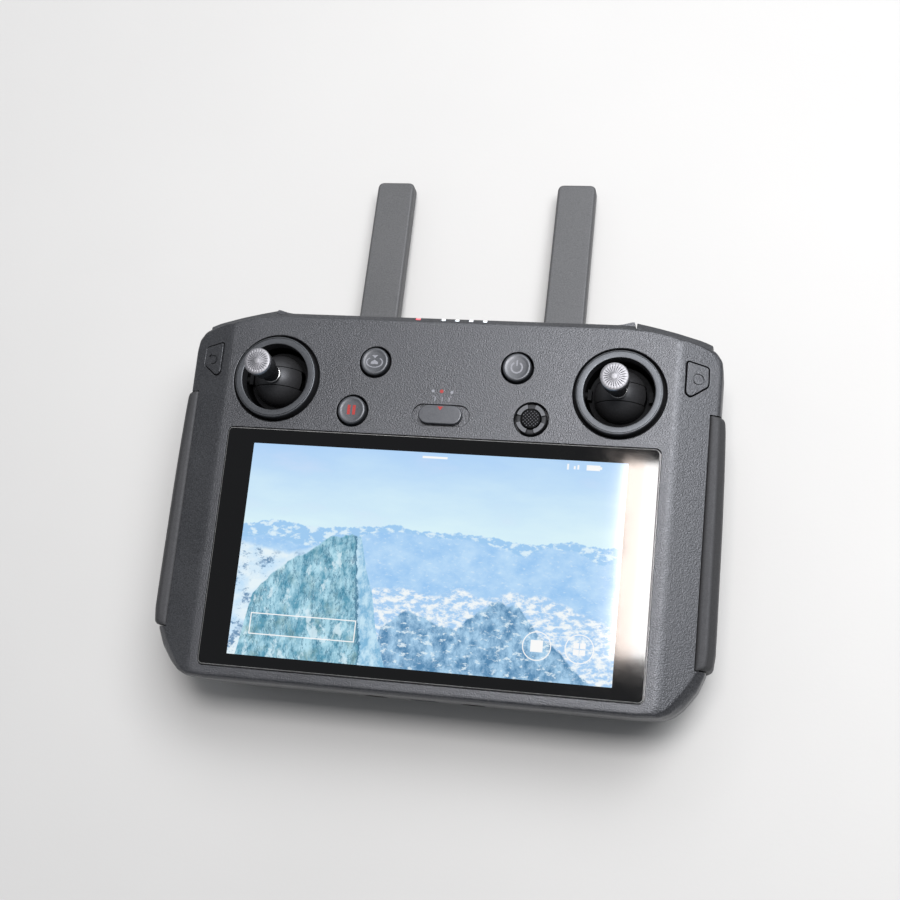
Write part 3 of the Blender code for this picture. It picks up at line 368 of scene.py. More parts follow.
def display_look():
    """Made-up mountain view with plain interface shapes, in millimetres on the panel."""
    look = Look("display", 0.06)
    mix, ramp, noise = look.mix, look.ramp, look.noise
    u, v, _ = look.split(look.design_point())
    flat = look.join(u, v, 0.0)

    def level(points, span, wobble, scale):
        """Height of a ridge line over the panel's width; its two ends come first."""
        made = look.tree.nodes.new("ShaderNodeFloatCurve")
        curve = made.mapping.curves[0]
        low, high = span
        for i, (at, height) in enumerate(points):
            place = ((at + 61.0) / 122.0, (height - low) / (high - low))
            if i < 2:
                curve.points[i].location = place
            else:
                curve.points.new(*place)
        for knot in curve.points:
            knot.handle_type = "VECTOR"
        made.mapping.update()
        look.feed(made.inputs["Value"], ramp(u, -61.0, 61.0))
        line = look.calc("MULTIPLY_ADD", Value(look, made.outputs[0]), high - low, low)
        rough = noise(scale, 4.0, 0.6, look.join(u, v * 0.15, float(len(points))))
        return line + (rough - 0.5) * wobble

    def under(height, soft):
        return look.calc("DIVIDE", height - v, soft, clamp=True)

    def streaks(scale, detail, roughness, along, across, turn):
        """Noise on the panel, turned by some degrees and stretched."""
        inputs = {"Vector": flat, "Rotation": (0.0, 0.0, math.radians(turn)), "Scale": (along, across, 1.0)}
        return noise(scale, detail, roughness, look.node("Mapping", inputs))

    cloud = streaks(1.0, 4.0, 0.55, 0.03, 0.09, 25.0)
    rise = look.calc("ADD", ramp(v, 8.0, 36.0) + (cloud - 0.5) * 0.9, 0.0, clamp=True)
    picture = mix(rise, (0.73, 0.93, 1.0), (0.45, 0.68, 0.98))
    picture = mix(ramp(cloud, 0.56, 0.78, 0.0, 0.35), picture, (0.88, 0.90, 1.0))

    facets = streaks(0.30, 5.0, 0.62, 1.0, 1.6, 30.0)
    far = level(
        ((-61, 7.6), (61, 7.8), (-51, 9.8), (-43, 8.6), (-34, 7.8), (-20, 9.2), (-10, 10.4), (-3, 8.8),
         (9, 9.2), (18, 8.9), (27, 7.4), (34, 7.0), (45, 8.9), (53, 7.6)), (-10.0, 20.0), 2.6, 0.42)
    snow = ramp(facets, 0.50, 0.60)
    shade = mix(snow, (0.36, 0.62, 0.92), (0.74, 0.90, 1.0))
    picture = mix(under(far, 0.35), picture, shade)

    haze = streaks(0.11, 4.0, 0.6, 1.0, 1.3, -20.0)
    near = level(
        ((-61, 3.4), (61, 3.0), (-52, 4.8), (-41, 2.0), (-29, 3.0), (-16, 8.0), (-8, 8.2), (2, 7.2),
         (14, 7.4), (25, 5.2), (31, 3.2), (38, 6.4), (47, 6.2), (54, 2.4)), (-10.0, 20.0), 2.0, 0.5)
    blue = mix(ramp(haze, 0.35, 0.65), (0.34, 0.60, 0.93), (0.52, 0.75, 0.99))
    fine = streaks(0.55, 5.0, 0.65, 1.0, 1.9, 40.0)
    blue = mix(ramp(fine, 0.56, 0.70, 0.0, 0.55), blue, (0.78, 0.91, 1.0))
    picture = mix(under(near, 0.5), picture, blue)

    left_snow = level(
        ((-61, 2.5), (61, -60.0), (-53, 1.0), (-45, -0.5), (-36, 2.4), (-28, 2.0), (-18, -20.0)),
        (-60.0, 20.0), 2.0, 0.35)
    drift = mix(ramp(haze, 0.38, 0.62), (0.58, 0.80, 1.0), (0.84, 0.95, 1.0))
    picture = mix(under(left_snow, 1.2), picture, drift)
    crag = ramp(streaks(0.16, 5.0, 0.7, 1.0, 1.4, 20.0), 0.53, 0.60)
    crag = crag * ramp(u, -44.0, -36.0, 1.0, 0.0)
    crag = crag * under(left_snow, 2.0)
    picture = mix(crag, picture, mix(snow, (0.16, 0.30, 0.48), (0.40, 0.58, 0.78)))

    band = level(
        ((-61, -60.0), (61, -16.5), (-20, -60.0), (-16, -9.6), (-6, -9.2), (4, -11.0), (12, -7.6),
         (20, -11.0), (28, -7.8), (38, -8.6), (48, -12.0)), (-60.0, 20.0), 3.0, 0.30)
    ripple = streaks(0.34, 5.0, 0.68, 1.0, 1.7, -15.0)
    slope = mix(ramp(ripple, 0.44, 0.58), (0.40, 0.64, 0.93), (0.93, 0.98, 1.0))
    picture = mix(under(band, 0.9), picture, slope)

    low_rock = level(
        ((-61, -60.0), (61, -40.0), (-16, -60.0), (-12, -22.0), (-4, -16.0), (3, -18.5), (12, -21.0),
         (19, -14.0), (24, -11.6), (31, -12.4), (35, -17.5), (45, -26.0), (53, -33.0)),
        (-60.0, 20.0), 4.0, 0.26)
    broken = streaks(0.20, 7.0, 0.70, 1.2, 0.9, 35.0)
    slate = mix(ramp(broken, 0.40, 0.60), (0.09, 0.25, 0.45), (0.42, 0.66, 0.88))
    slate = mix(ramp(ripple, 0.55, 0.62, 0.0, 0.85), slate, (0.80, 0.93, 1.0))
    picture = mix(under(low_rock, 0.7), picture, slate)

    outcrop = level(
        ((-61, -46.0), (61, -60.0), (-58, -33.0), (-55, -14.5), (-50, -8.5), (-44, -3.2), (-38, 0.2),
         (-31, 5.4), (-24, 6.6), (-21.2, 5.6), (-18.5, -4.0), (-15.6, -12.0), (-13.6, -22.0),
         (-9.5, -34.0), (-4, -60.0)), (-60.0, 20.0), 3.4, 0.30)
    cracks = streaks(0.24, 7.0, 0.72, 1.25, 0.75, -14.0)
    cliff = mix(ramp(cracks, 0.40, 0.60), (0.10, 0.33, 0.47), (0.48, 0.77, 0.90))
    moss = ramp(streaks(0.14, 4.0, 0.7, 1.3, 1.0, 60.0), 0.50, 0.66, 0.0, 0.55)
    cliff = mix(moss * ramp(v, -34.0, 2.0, 1.0, 0.25), cliff, (0.25, 0.36, 0.30))
    seam = abs(streaks(0.20, 4.0, 0.7, 1.6, 0.45, -12.0) - 0.5)
    cliff = mix(ramp(seam, 0.0, 0.022, 0.75, 0.0), cliff, (0.03, 0.14, 0.24))
    patches = streaks(0.17, 6.0, 0.66, 1.3, 0.8, 30.0)
    cliff = mix(ramp(patches, 0.56, 0.62, 0.0, 0.75), cliff, (0.74, 0.92, 1.0))
    chimney = u + look.calc("MULTIPLY_ADD", v, 0.13, 22.4)
    chimney = chimney + (cracks - 0.5) * 6.0
    lit_face = mix(ramp(cracks, 0.42, 0.58), (0.26, 0.54, 0.80), (0.62, 0.85, 1.0))
    cliff = mix(ramp(chimney, 0.0, 0.5, 0.0, 0.8), cliff, lit_face)
    cliff = mix(ramp(abs(chimney), 0.15, 0.55, 0.8, 0.0), cliff, (0.04, 0.16, 0.28))
    picture = mix(under(outcrop, 0.45), picture, cliff)

    def box_mark(centre, half, line=None):
        """1 inside a box, or along its outline if a line width is given."""
        dx = abs(u - centre[0]) - half[0]
        dy = abs(v - centre[1]) - half[1]
        edge = look.calc("MAXIMUM", dx, dy)
        if line:
            edge = abs(edge) - line
        return ramp(edge, -0.06, 0.06, 1.0, 0.0)

    def ring_mark(centre, radius, line):
        away = look.vector("SUBTRACT", flat, (*centre, 0.0))
        span = look.node("VectorMath", {0: away}, "Value", operation="LENGTH")
        return ramp(abs(span - radius) - line, -0.06, 0.06, 1.0, 0.0)

    marks = [
        box_mark((-0.15, 32.7), (4.05, 0.34)),
        box_mark((-37.2, -24.05), (17.2, 3.25), 0.16),
        ring_mark((37.3, -23.8), 4.3, 0.16),
        ring_mark((50.3, -23.7), 4.3, 0.16),
        box_mark((37.3, -23.8), (1.9, 1.8)),
    ]
    marks += [box_mark((x, y), (0.85, 0.85)) for y in (-22.7, -24.7) for x in (49.3, 51.3)]
    marks += [
        box_mark((50.2, 32.2), (2.1, 0.85)),
        box_mark((52.6, 32.2), (0.3, 0.4)),
        box_mark((42.3, 32.2), (0.28, 0.9)),
        box_mark((44.4, 32.0), (0.28, 0.5)),
        box_mark((45.5, 32.2), (0.28, 0.7)),
    ]
    for mark in marks:
        picture = mix(mark, picture, (1.0, 1.0, 1.0))
    look.set("Base Color", (0.006, 0.007, 0.008))
    look.set("IOR", 1.5)
    look.set("Emission Color", picture)
    look.set("Emission Strength", 0.93)
    return look.material


LOOKS = {
    "ring_plastic": ring_look(),
    "screen_glass": glass_look(),
    "display": display_look(),
    "circuit_board": board_look(),
    "white_lamp": lamp("white_lamp", (0.85, 0.92, 1.0), 1.4),
    "red_lamp": lamp("red_lamp", (0.85, 0.02, 0.04), 0.9),
}
for slot_name, *values in (
    # slot, name, dark and light colour, roughness, grain per metre, depth in mm, speckle (bright specks,
    # partly painted glints), shine
    ("shell_plastic", "shell", (0.005, 0.005, 0.006), (0.029, 0.030, 0.033), 0.41, 2200.0, 0.160, 0.80, 1.0),
    ("antenna_plastic", "antenna", (0.066, 0.067, 0.069), (0.092, 0.093, 0.096), 0.48, 2600.0, 0.022),
    ("grip_rubber", "grip", (0.024, 0.024, 0.025), (0.038, 0.038, 0.040), 0.62, 2900.0, 0.018),
    ("button_plastic", "button", (0.026, 0.028, 0.032), (0.042, 0.045, 0.051), 0.38, 2800.0, 0.015, 0.0, 1.0),
    ("key_plastic", "key", (0.028, 0.029, 0.031), (0.050, 0.052, 0.056), 0.46, 2300.0, 0.035),
    ("soft_black", "soft_black", (0.010, 0.010, 0.011), (0.018, 0.018, 0.019), 0.62, 1900.0, 0.03),
    ("gimbal_plastic", "gimbal", (0.013, 0.013, 0.014), (0.021, 0.021, 0.023), 0.40, 2600.0, 0.010),
    ("grip_mark", "grip_mark", (0.070, 0.073, 0.080), (0.110, 0.114, 0.124), 0.45, 2600.0, 0.010),
    ("dome_plastic", "dome", (0.016, 0.016, 0.017), (0.025, 0.025, 0.027), 0.44, 2600.0, 0.010),
    # well: near-black, darker than the other black plastics; in the gimbal wells this is partly the cup's
    # black plastic and partly painted shade of the recess. The yoke collar and the five-way's push cap use it
    # too.
    ("well_plastic", "well", (0.003, 0.003, 0.003), (0.006, 0.006, 0.007), 0.65, 2600.0, 0.010, 0.0, 0.12),
    # glass_edge: light grey rim, a painted highlight standing in for the bright line that the glass's
    # bevelled edge reflects.
    ("glass_edge", "glass_edge", (0.20, 0.20, 0.20), (0.34, 0.34, 0.34), 0.30, 1400.0, 0.004),
    ("cell_wrap", "cell_wrap", (0.035, 0.14, 0.34), (0.05, 0.18, 0.40), 0.4, 1200.0, 0.02),
    ("lamp_plastic", "lamp_plastic", (0.45, 0.46, 0.48), (0.55, 0.56, 0.58), 0.35, 1500.0, 0.01),
):
    LOOKS[slot_name] = moulded(*values)
for slot_name, *values in (
    # slot, name, dark and light colour, roughness, stretch of the lines, grain per metre, metallic
    ("frame_metal", "frame_metal", (0.28, 0.28, 0.29), (0.46, 0.46, 0.47), 0.42, (1.0, 0.1, 1.0)),
    ("bright_steel", "bright_steel", (0.42, 0.42, 0.43), (0.70, 0.70, 0.71), 0.24, (1.0, 1.0, 0.1)),
    ("cap_aluminium", "cap", (0.24, 0.24, 0.26), (0.44, 0.44, 0.47), 0.52, (1.0, 1.0, 0.3), 2200.0),
    ("cap_dark", "cap_dark", (0.02, 0.02, 0.022), (0.05, 0.05, 0.054), 0.36, (1.0, 1.0, 1.0), 2000.0, 0.6),
    ("screw_steel", "screw", (0.06, 0.06, 0.065), (0.14, 0.14, 0.15), 0.36, (1.0, 1.0, 1.0), 1600.0),
    ("brass", "brass", (0.50, 0.34, 0.12), (0.72, 0.54, 0.26), 0.30),
):
    LOOKS[slot_name] = metal(*values)
for slot_name, colour in (("soft_ink", (0.245, 0.252, 0.288)), ("red_ink", (0.34, 0.016, 0.014))):
    LOOKS[slot_name] = printed(slot_name, colour)


# Shape helpers

def piece(name, bm, look, body, nodes=(), at=(0.0, 0.0, 0.0), sharp=35.0):
    """Make a mesh drawn in millimetres into a piece that rides on a CAD body."""
    finish_piece(solid(name, bm, at), look, body, nodes, sharp)


def solid(name, bm, at=(0.0, 0.0, 0.0), turn=None):
    bmesh.ops.recalc_face_normals(bm, faces=bm.faces)
    if turn is not None:
        bm.transform(turn.to_4x4())
    bm.transform(TO_ROW @ Matrix.Translation(Vector(at)))
    mesh = bpy.data.meshes.new(name)
    bm.to_mesh(mesh)
    bm.free()
    made = bpy.data.objects.new(name, mesh)
    SCENE.collection.objects.link(made)
    return made


def finish_piece(made, look, body, nodes=(), sharp=35.0):
    made.data.materials.clear()
    made.data.materials.append(LOOKS[look])
    made.data.shade_smooth()
    made.data.set_sharp_from_angle(angle=math.radians(sharp))
    weighted = made.modifiers.new("weighted", "WEIGHTED_NORMAL")
    weighted.keep_sharp = True
    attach(made, body)
    if nodes:
        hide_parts(*nodes)


def combine(target, operation, tools):
    for tool in tools:
        step = target.modifiers.new(tool.name, "BOOLEAN")
        step.operation = operation
        step.solver = "EXACT"
        step.object = tool
    bpy.context.view_layer.update()
    graph = bpy.context.evaluated_depsgraph_get()
    result = bpy.data.meshes.new_from_object(target.evaluated_get(graph))
    target.modifiers.clear()
    target.data = result
    for tool in tools:
        bpy.data.objects.remove(tool, do_unlink=True)


def carve(target, tools):
    combine(target, "DIFFERENCE", tools)


def fuse(target, tools):
    combine(target, "UNION", tools)


def loft(rings):
    bm = bmesh.new()
    rows = [[bm.verts.new(tuple(float(value) for value in point)) for point in ring] for ring in rings]
    count = len(rows[0])
    for lower, upper in zip(rows, rows[1:]):
        for i in range(count):
            j = (i + 1) % count
            bm.faces.new((lower[i], lower[j], upper[j], upper[i]))
    bm.faces.new(list(reversed(rows[0])))
    bm.faces.new(rows[-1])
    return bm


def stacked(outline, levels):
    """Solid from an outline grown by a distance at each height."""
    return loft([[(x, y, z) for x, y in offset(outline, grow)] for grow, z in levels])


def prism(outline, low, high):
    return stacked(outline, ((0.0, low), (0.0, high)))


def turned(profile, steps, closed=False, shape=None):
    """Solid of revolution about Z; shape(step, row) gives a change of radius and height."""
    bm = bmesh.new()
    rows = []
    for row, (radius, z) in enumerate(profile):
        if radius < 1e-6:
            rows.append([bm.verts.new((0.0, 0.0, z))] * steps)
            continue
        line = []
        for i in range(steps):
            angle = 2.0 * math.pi * i / steps
            wider, higher = shape(i, row) if shape else (0.0, 0.0)
            reach = radius + wider
            line.append(bm.verts.new((reach * math.cos(angle), reach * math.sin(angle), z + higher)))
        rows.append(line)
    pairs = list(zip(rows, rows[1:]))
    if closed:
        pairs.append((rows[-1], rows[0]))
    for lower, upper in pairs:
        for i in range(steps):
            j = (i + 1) % steps
            bm.faces.new(list(dict.fromkeys((lower[i], lower[j], upper[j], upper[i]))))
    return bm


def block(centre, size):
    bm = bmesh.new()
    bmesh.ops.create_cube(bm, size=1.0)
    bm.transform(Matrix.Translation(Vector(centre)) @ Matrix.Diagonal((*size, 1.0)))
    return bm


def rod(radius, length, steps, axis="Z"):
    """Cylinder about an axis through the origin."""
    bm = prism(circle(radius, steps), -length / 2.0, length / 2.0)
    if axis == "X":
        bm.transform(Matrix.Rotation(QUARTER, 4, "Y"))
    if axis == "Y":
        bm.transform(Matrix.Rotation(QUARTER, 4, "X"))
    return bm


def circle(radius, steps, centre=(0.0, 0.0)):
    angles = [2.0 * math.pi * i / steps for i in range(steps)]
    return [(centre[0] + radius * math.cos(a), centre[1] + radius * math.sin(a)) for a in angles]


def arc_band(inner, outer, start, end, steps, centre=(0.0, 0.0)):
    """Outline of a ring segment between two angles in degrees."""
    angles = [math.radians(start + (end - start) * i / steps) for i in range(steps + 1)]
    outside = [(centre[0] + outer * math.cos(a), centre[1] + outer * math.sin(a)) for a in angles]
    inside = [(centre[0] + inner * math.cos(a), centre[1] + inner * math.sin(a)) for a in reversed(angles)]
    return outside + inside


def rounded_rect(width, height, radius, centre=(0.0, 0.0), steps=6):
    points = []
    for sx, sy, start in ((1, 1, 0.0), (-1, 1, 90.0), (-1, -1, 180.0), (1, -1, 270.0)):
        cx = centre[0] + sx * (width / 2.0 - radius)
        cy = centre[1] + sy * (height / 2.0 - radius)
        for i in range(steps + 1):
            angle = math.radians(start + 90.0 * i / steps)
            points.append((cx + radius * math.cos(angle), cy + radius * math.sin(angle)))
    return points


def stadium(length, width, centre=(0.0, 0.0), steps=14):
    radius = width / 2.0
    reach = length / 2.0 - radius
    points = []
    for side, start in ((1, -90.0), (-1, 90.0)):
        for i in range(steps + 1):
            angle = math.radians(start + 180.0 * i / steps)
            x = centre[0] + side * reach + radius * math.cos(angle)
            points.append((x, centre[1] + radius * math.sin(angle)))
    return points


def rounded(points, reach, steps=3, closed=True):
    """Line or ring of points or of whole profiles, with a short curve at every corner."""
    points = [np.array(point, float) for point in points]
    reaches = reach if isinstance(reach, (tuple, list)) else [reach] * len(points)
    result = []
    for i, here in enumerate(points):
        if not closed and i in (0, len(points) - 1):
            result.append(here)
            continue
        before = points[i - 1] - here
        after = points[(i + 1) % len(points)] - here
        spans = [max(np.linalg.norm(side.reshape(-1, side.shape[-1])[0]), 1e-6) for side in (before, after)]
        start = here + before * min(0.45, reaches[i] / spans[0])
        end = here + after * min(0.45, reaches[i] / spans[1])
        for step in range(steps + 1):
            t = step / steps
            result.append(start * (1 - t) ** 2 + here * 2 * t * (1 - t) + end * t * t)
    return result


def offset(outline, distance):
    """Move a counter-clockwise outline outwards by a distance, inwards if negative."""
    if not distance:
        return list(outline)
    result = []
    count = len(outline)
    for i in range(count):
        here = Vector(outline[i][:2])
        edge_in = (here - Vector(outline[i - 1][:2])).normalized()
        edge_out = (Vector(outline[(i + 1) % count][:2]) - here).normalized()
        normal_in = Vector((edge_in.y, -edge_in.x))
        normal_out = Vector((edge_out.y, -edge_out.x))
        miter = (normal_in + normal_out).normalized()
        result.append(tuple(here + miter * distance / max(miter.dot(normal_out), 0.5)))
    return result


def steps_from(x, y, *steps):
    """Points given as steps from one reference point."""
    return [(x + dx, y + dy) for dx, dy in steps]


def mirrored(outline, side):
    return outline if side > 0 else [(-x, y) for x, y in reversed(outline)]


def smoothstep(value):
    value = min(max(value, 0.0), 1.0)
    return value * value * (3.0 - 2.0 * value)


def flared(outline, low, lip):
    """Cutter for a hole whose mouth at z = 0 is rounded over by lip."""
    curve = ((0.0, -lip), (0.12 * lip, -0.5 * lip), (0.45 * lip, -0.12 * lip), (1.1 * lip, 0.08 * lip))
    return stacked(outline, ((0.0, low), *curve, (1.1 * lip, CUTTER_TOP)))


def button_levels(low, high, roll):
    """Levels of a key top whose edge rolls over by roll."""
    curve = ((0.0, -1.0), (-0.12, -0.5), (-0.45, -0.12), (-1.0, 0.0))
    return ((0.0, low), *((grow * roll, high + rise * roll) for grow, rise in curve))


# Casing

def front_profiles():
    """Smooth ring of casing profiles, counter-clockwise from the bottom centre."""
    right = []
    for face, crease, edge, wall in STATIONS:
        inner = (face[0] * 0.97, (face[1] - 17.0) * 0.97 + 17.0, 0.0)
        base = -PARTING + SHELL_GAP / 2.0
        corners = ((*wall, base), (*wall, -WALL_START), edge, crease, (*face, 0.0), inner)
        right.append(np.array(rounded(corners, (0.0, 1.2, 0.6, 0.6, 2.0, 0.0), 4, closed=False)))
    left = [profile * (-1.0, 1.0, 1.0) for profile in right[1:-1]]
    return rounded(right[::-1] + left, 0.9, 4)


FRONT = front_profiles()
WALL_LINE = sorted((float(p[0][1]), float(p[0][0])) for p in FRONT if p[0][0] > 55.9)


def half_width(y):
    return float(np.interp(y, [point[0] for point in WALL_LINE], [point[1] for point in WALL_LINE]))


def front_cavity():
    def ring(index):
        right = [station[index] for station in STATIONS]
        return right[::-1] + [(-point[0], *point[1:]) for point in right[1:-1]]

    walls = offset(ring(3), -WALL)
    face = offset(ring(0), -1.2)
    levels = [[(x, y, -PARTING - 1.0) for x, y in walls]]
    levels.append([(x, y, edge[2] - 2.2) for (x, y), edge in zip(walls, ring(2))])
    levels.append([(x, y, -FRONT_WALL) for x, y in face])
    return loft(levels)


def facet_matrix(side):
    return Matrix.Translation((side * CREASE_X, 0.0, 0.0)) @ Matrix.Rotation(side * FACET_ANGLE, 4, "Y")


def facet_outline(side):
    slope = math.cos(FACET_ANGLE)
    corners = ((76.7, 68.2), (76.7, 57.9), (78.2, 57.0), (83.4, 61.0), (83.3, 66.9))
    points = rounded([((x - CREASE_X) / slope, y) for x, y in corners], 0.9, 5)
    return mirrored([tuple(point) for point in points], side)


def key_outline(grow, travel):
    drop = KEY_DEPTH + travel
    outer = list(KEY_OUTER)
    inner = [(x - drop * math.sin(KEY_ANGLE), y - drop * math.cos(KEY_ANGLE)) for x, y in outer]
    inner[0] = (outer[0][0], inner[0][1])
    return offset(inner + outer[::-1], grow)


def key_front(x):
    return KEY_FRONT - KEY_FALL * (x - KEY_OUTER[0][0])


def key_pocket(side):
    outline = key_outline(GAP, KEY_PRESS)
    low = [(side * x, y, KEY_BACK - GAP) for x, y in outline]
    high = [(side * x, y, key_front(x) + GAP) for x, y in outline]
    return loft([low, high])


def key_lip_cut(side):
    """Trims the face back above a shoulder key, so that the key shows along the top edge."""
    beyond = [(x, TOP_EDGE + 3.0) for x, _ in reversed((KEY_LIP[0], KEY_LIP[-1]))]
    return prism(mirrored(list(KEY_LIP) + beyond, side), -6.0, 1.0)


def key_piece(side):
    """Shoulder key whose front edge is chamfered like the casing's top edge."""
    first, last = KEY_OUTER[0][0], KEY_OUTER[-1][0]
    line = [tuple(point) for point in rounded(KEY_OUTER, 1.6, 4, closed=False)]
    first_slope = (line[1][1] - line[0][1]) / (line[1][0] - line[0][0])
    last_slope = (line[-1][1] - line[-2][1]) / (line[-1][0] - line[-2][0])
    line.insert(1, (first + 0.14, line[0][1] + 0.14 * first_slope))
    line.insert(-1, (last - 0.3, line[-1][1] - 0.3 * last_slope))
    section = ((1.0, KEY_BACK + 0.3), (0.93, KEY_BACK), (0.07, KEY_BACK), (0.0, KEY_BACK + 0.3))
    chamfer = ((0.0, -1.62), (0.015, -1.46), (0.05, -1.32), (0.58, -0.06), (0.64, 0.0))
    chamfer += ((0.95, 0.0), (1.0, -0.2))
    rows = []
    for i, (x, y) in enumerate(line):
        shrink = {0: 0.12, len(line) - 1: 0.3}.get(i, 0.0)
        lean = KEY_DEPTH * math.sin(KEY_ANGLE) * min((x - first) / 5.0, 1.0)
        drop = KEY_DEPTH * math.cos(KEY_ANGLE)
        points = [(share, z + (shrink if z < -10.0 else 0.0)) for share, z in section]
        points += [(share, key_front(x) + step - shrink) for share, step in chamfer]
        row = []
        for share, z in points:
            share = shrink / KEY_DEPTH + share * (1.0 - 2.0 * shrink / KEY_DEPTH)
            row.append((side * (x - lean * share), y - drop * share, z))
        rows.append(row)
    return loft(rows)


def pad_section(y, share, grow):
    fall = grip_depth(y) - 20.0
    surface = [(84.8, -4.1), (86.9, -5.0), (WALL_X, -7.0), (WALL_X, -14.0), (WALL_X, -20.0)]
    surface += [(WALL_X - 1.2, -20.0 - 0.40 * fall), (WALL_X - 2.9, -20.0 - 0.60 * fall)]
    weights = (0.0, 0.70, 1.0, 1.0, 1.0, 0.75, 0.0)
    outer, inner = [], []
    for i, (x, z) in enumerate(surface):
        ahead = Vector(surface[min(i + 1, len(surface) - 1)])
        behind = Vector(surface[max(i - 1, 0)])
        along = (ahead - behind).normalized()
        rise = 0.05 + share * weights[i] * (PAD_MAX_X - WALL_X)
        outer.append((x - along.y * rise, z + along.x * rise))
        inner.append((x + along.y * PAD_SUNK, z - along.x * PAD_SUNK))
    ring = outer[::-1] + inner
    return offset(ring, grow) if grow else ring


def pad_share(y):
    return float(np.interp(y, [row[0] for row in PAD_SHARES], [row[1] for row in PAD_SHARES]))


def pad_recess(side):
    rows = []
    for y, share in PAD_SHARES:
        if y in (PAD_TOP, PAD_BOTTOM):
            y += math.copysign(GAP, y)
        rows.append([(side * x, y, z) for x, z in pad_section(y, share, GAP)])
    return loft(rows)


def pad_piece(side):
    """Grip pad with rolled ends and edges."""
    heights = [PAD_BOTTOM, -26.35, -25.8, -25.0, -23.5] + [float(y) for y in np.arange(-21.0, 49.0, 3.5)]
    heights += [50.0, 50.9, 51.4, 51.7, PAD_TOP]
    rows = []
    for y in heights:
        end = min(PAD_TOP - y, y - PAD_BOTTOM)
        roll = math.sqrt(max(0.0, 1.0 - (1.0 - min(end / 1.6, 1.0)) ** 2))
        section = rounded(pad_section(y, pad_share(y) * roll + 0.02 * (1.0 - roll), 0.0), 1.1, 4)
        rows.append([(side * x, y, z) for x, z in section])
    return loft(rows)


def grip_depth(y):
    if y > GRIP_FLAT_TOP:
        fall = smoothstep((y - GRIP_FLAT_TOP) / (GRIP_TOP - GRIP_FLAT_TOP))
        return GRIP_BACK - (GRIP_BACK - CENTRE_BACK) * fall
    if y < GRIP_FLAT_BOTTOM:
        fall = smoothstep((GRIP_FLAT_BOTTOM - y) / (GRIP_FLAT_BOTTOM - BOTTOM_EDGE))
        return GRIP_BACK - (GRIP_BACK - GRIP_END_DEPTH) * fall
    return GRIP_BACK


def end_rounding(y):
    distance = min(TOP_EDGE - y, y - BOTTOM_EDGE)
    return 2.2 * (1.0 - min(distance / 3.0, 1.0)) ** 2


def rear_section(y, inset=0.0):
    width = half_width(y)
    if inset:
        shifted = y + inset if y > 0.0 else y - inset
        width = min(width - inset, half_width(shifted) - 1.0)
    deep = grip_depth(y) - end_rounding(y) - inset
    middle = CENTRE_BACK - end_rounding(y) - inset
    top = -PARTING - SHELL_GAP / 2.0 if not inset else -PARTING + 1.0
    turn = 20.0
    fall = deep - turn
    half = [(width, top), (width, -turn), (width - 1.2, -turn - 0.40 * fall)]
    half += [(width - 4.0, -turn - 0.72 * fall), (width - 8.5, -turn - 0.93 * fall), (width - 13.0, -deep)]
    inner = ((57.5, 17.0, 1.0), (51.0, 19.0, 0.8), (46.5, 21.0, 0.25), (43.0, 23.0, 0.0))
    for x, margin, share in inner:
        half.append((min(x + inset, width - margin), -middle - share * (deep - middle)))
    section = half + [(-x, z) for x, z in reversed(half)]
    if not inset:
        section = rounded(section, 3.5, 3, closed=False)
    return [(x, y, z) for x, z in section]


def rear_casing():
    heights = {round(row[0], 2) for row in WALL_LINE} | {float(y) for y in range(-39, 60, 3)}
    kept = []
    for y in sorted(heights):
        if not kept or y - kept[-1] > 0.22:
            kept.append(y)
    kept[-1] = TOP_EDGE
    return loft([rear_section(y) for y in kept])


def rear_cavity():
    low, high = BOTTOM_EDGE + WALL, TOP_EDGE - WALL
    walls = [station[3][1] for station in STATIONS[1:-1]] + [50.0, 43.0, 35.0, 27.0, 20.0]
    heights = [low, high] + [y for y in walls[::2] if low + 0.5 < y < high - 0.5]
    return loft([rear_section(y, WALL) for y in sorted(set(heights))])


def build_front_casing():
    rows = [[profile[j] for profile in FRONT] for j in range(len(FRONT[0]))]
    shell = solid("front_casing", loft(rows))
    ridges = []
    for _, side in SIDES:
        ramp = [(53.0, 78.0), (59.4, 78.0), (59.4, 80.3), (59.2, 80.5)]
        ramp += [(58.5, 80.45), (57.0, 80.0), (55.3, 79.6), (53.0, 79.3)]
        ridges.append(solid("ridge", prism(mirrored(ramp, side), -12.0, -1.6)))
    fuse(shell, ridges)
    size = [side + 2 * GAP for side in GLASS_SIZE]
    glass_hole = rounded_rect(*size, GLASS_RADIUS + GAP, (0.0, SCREEN_Y))
    holes = [
        solid("cavity", front_cavity()),
        solid("screen_hole", flared(glass_hole, HOLE_LOW, 0.22)),
        solid("mode_recess", flared(stadium(*MODE_RECESS, MODE_SWITCH), -MODE_RECESS_DEPTH, 0.25)),
        solid("mode_slot", prism(stadium(*MODE_SLOT, MODE_SWITCH), HOLE_LOW, 0.1 - MODE_RECESS_DEPTH)),
        solid("five_way_hole", flared(circle(FIVE_WAY_HOLE_R, 64, FIVE_WAY), HOLE_LOW, 0.3)),
    ]
    for name, centre in ROUND_BUTTONS.items():
        holes.append(solid(name + "_hole", flared(circle(BUTTON_HOLE_R, 64, centre), HOLE_LOW, 0.35)))
    for x in LAMP_XS:
        holes.append(solid("lamp_hole", block((x, 77.1, LAMP_Z), (1.7, 6.4, 2.4))))
    for _, side in SIDES:
        centre = (side * GIMBAL_X, GIMBAL_Y)
        holes.append(solid("gimbal_hole", flared(circle(GIMBAL_HOLE_R, 120, centre), HOLE_LOW, 0.45)))
        facet = flared(offset(facet_outline(side), GAP), -6.0, 0.2)
        facet.transform(facet_matrix(side))
        holes.append(solid("facet_hole", facet))
        pocket = solid("key_pocket", key_pocket(side))
        fuse(pocket, [solid("key_lip_cut", key_lip_cut(side))])
        holes.append(pocket)
    holes += [solid("pad_recess", pad_recess(side)) for _, side in SIDES]
    carve(shell, holes)
    finish_piece(shell, "shell_plastic", "housing", ["front_shell"])


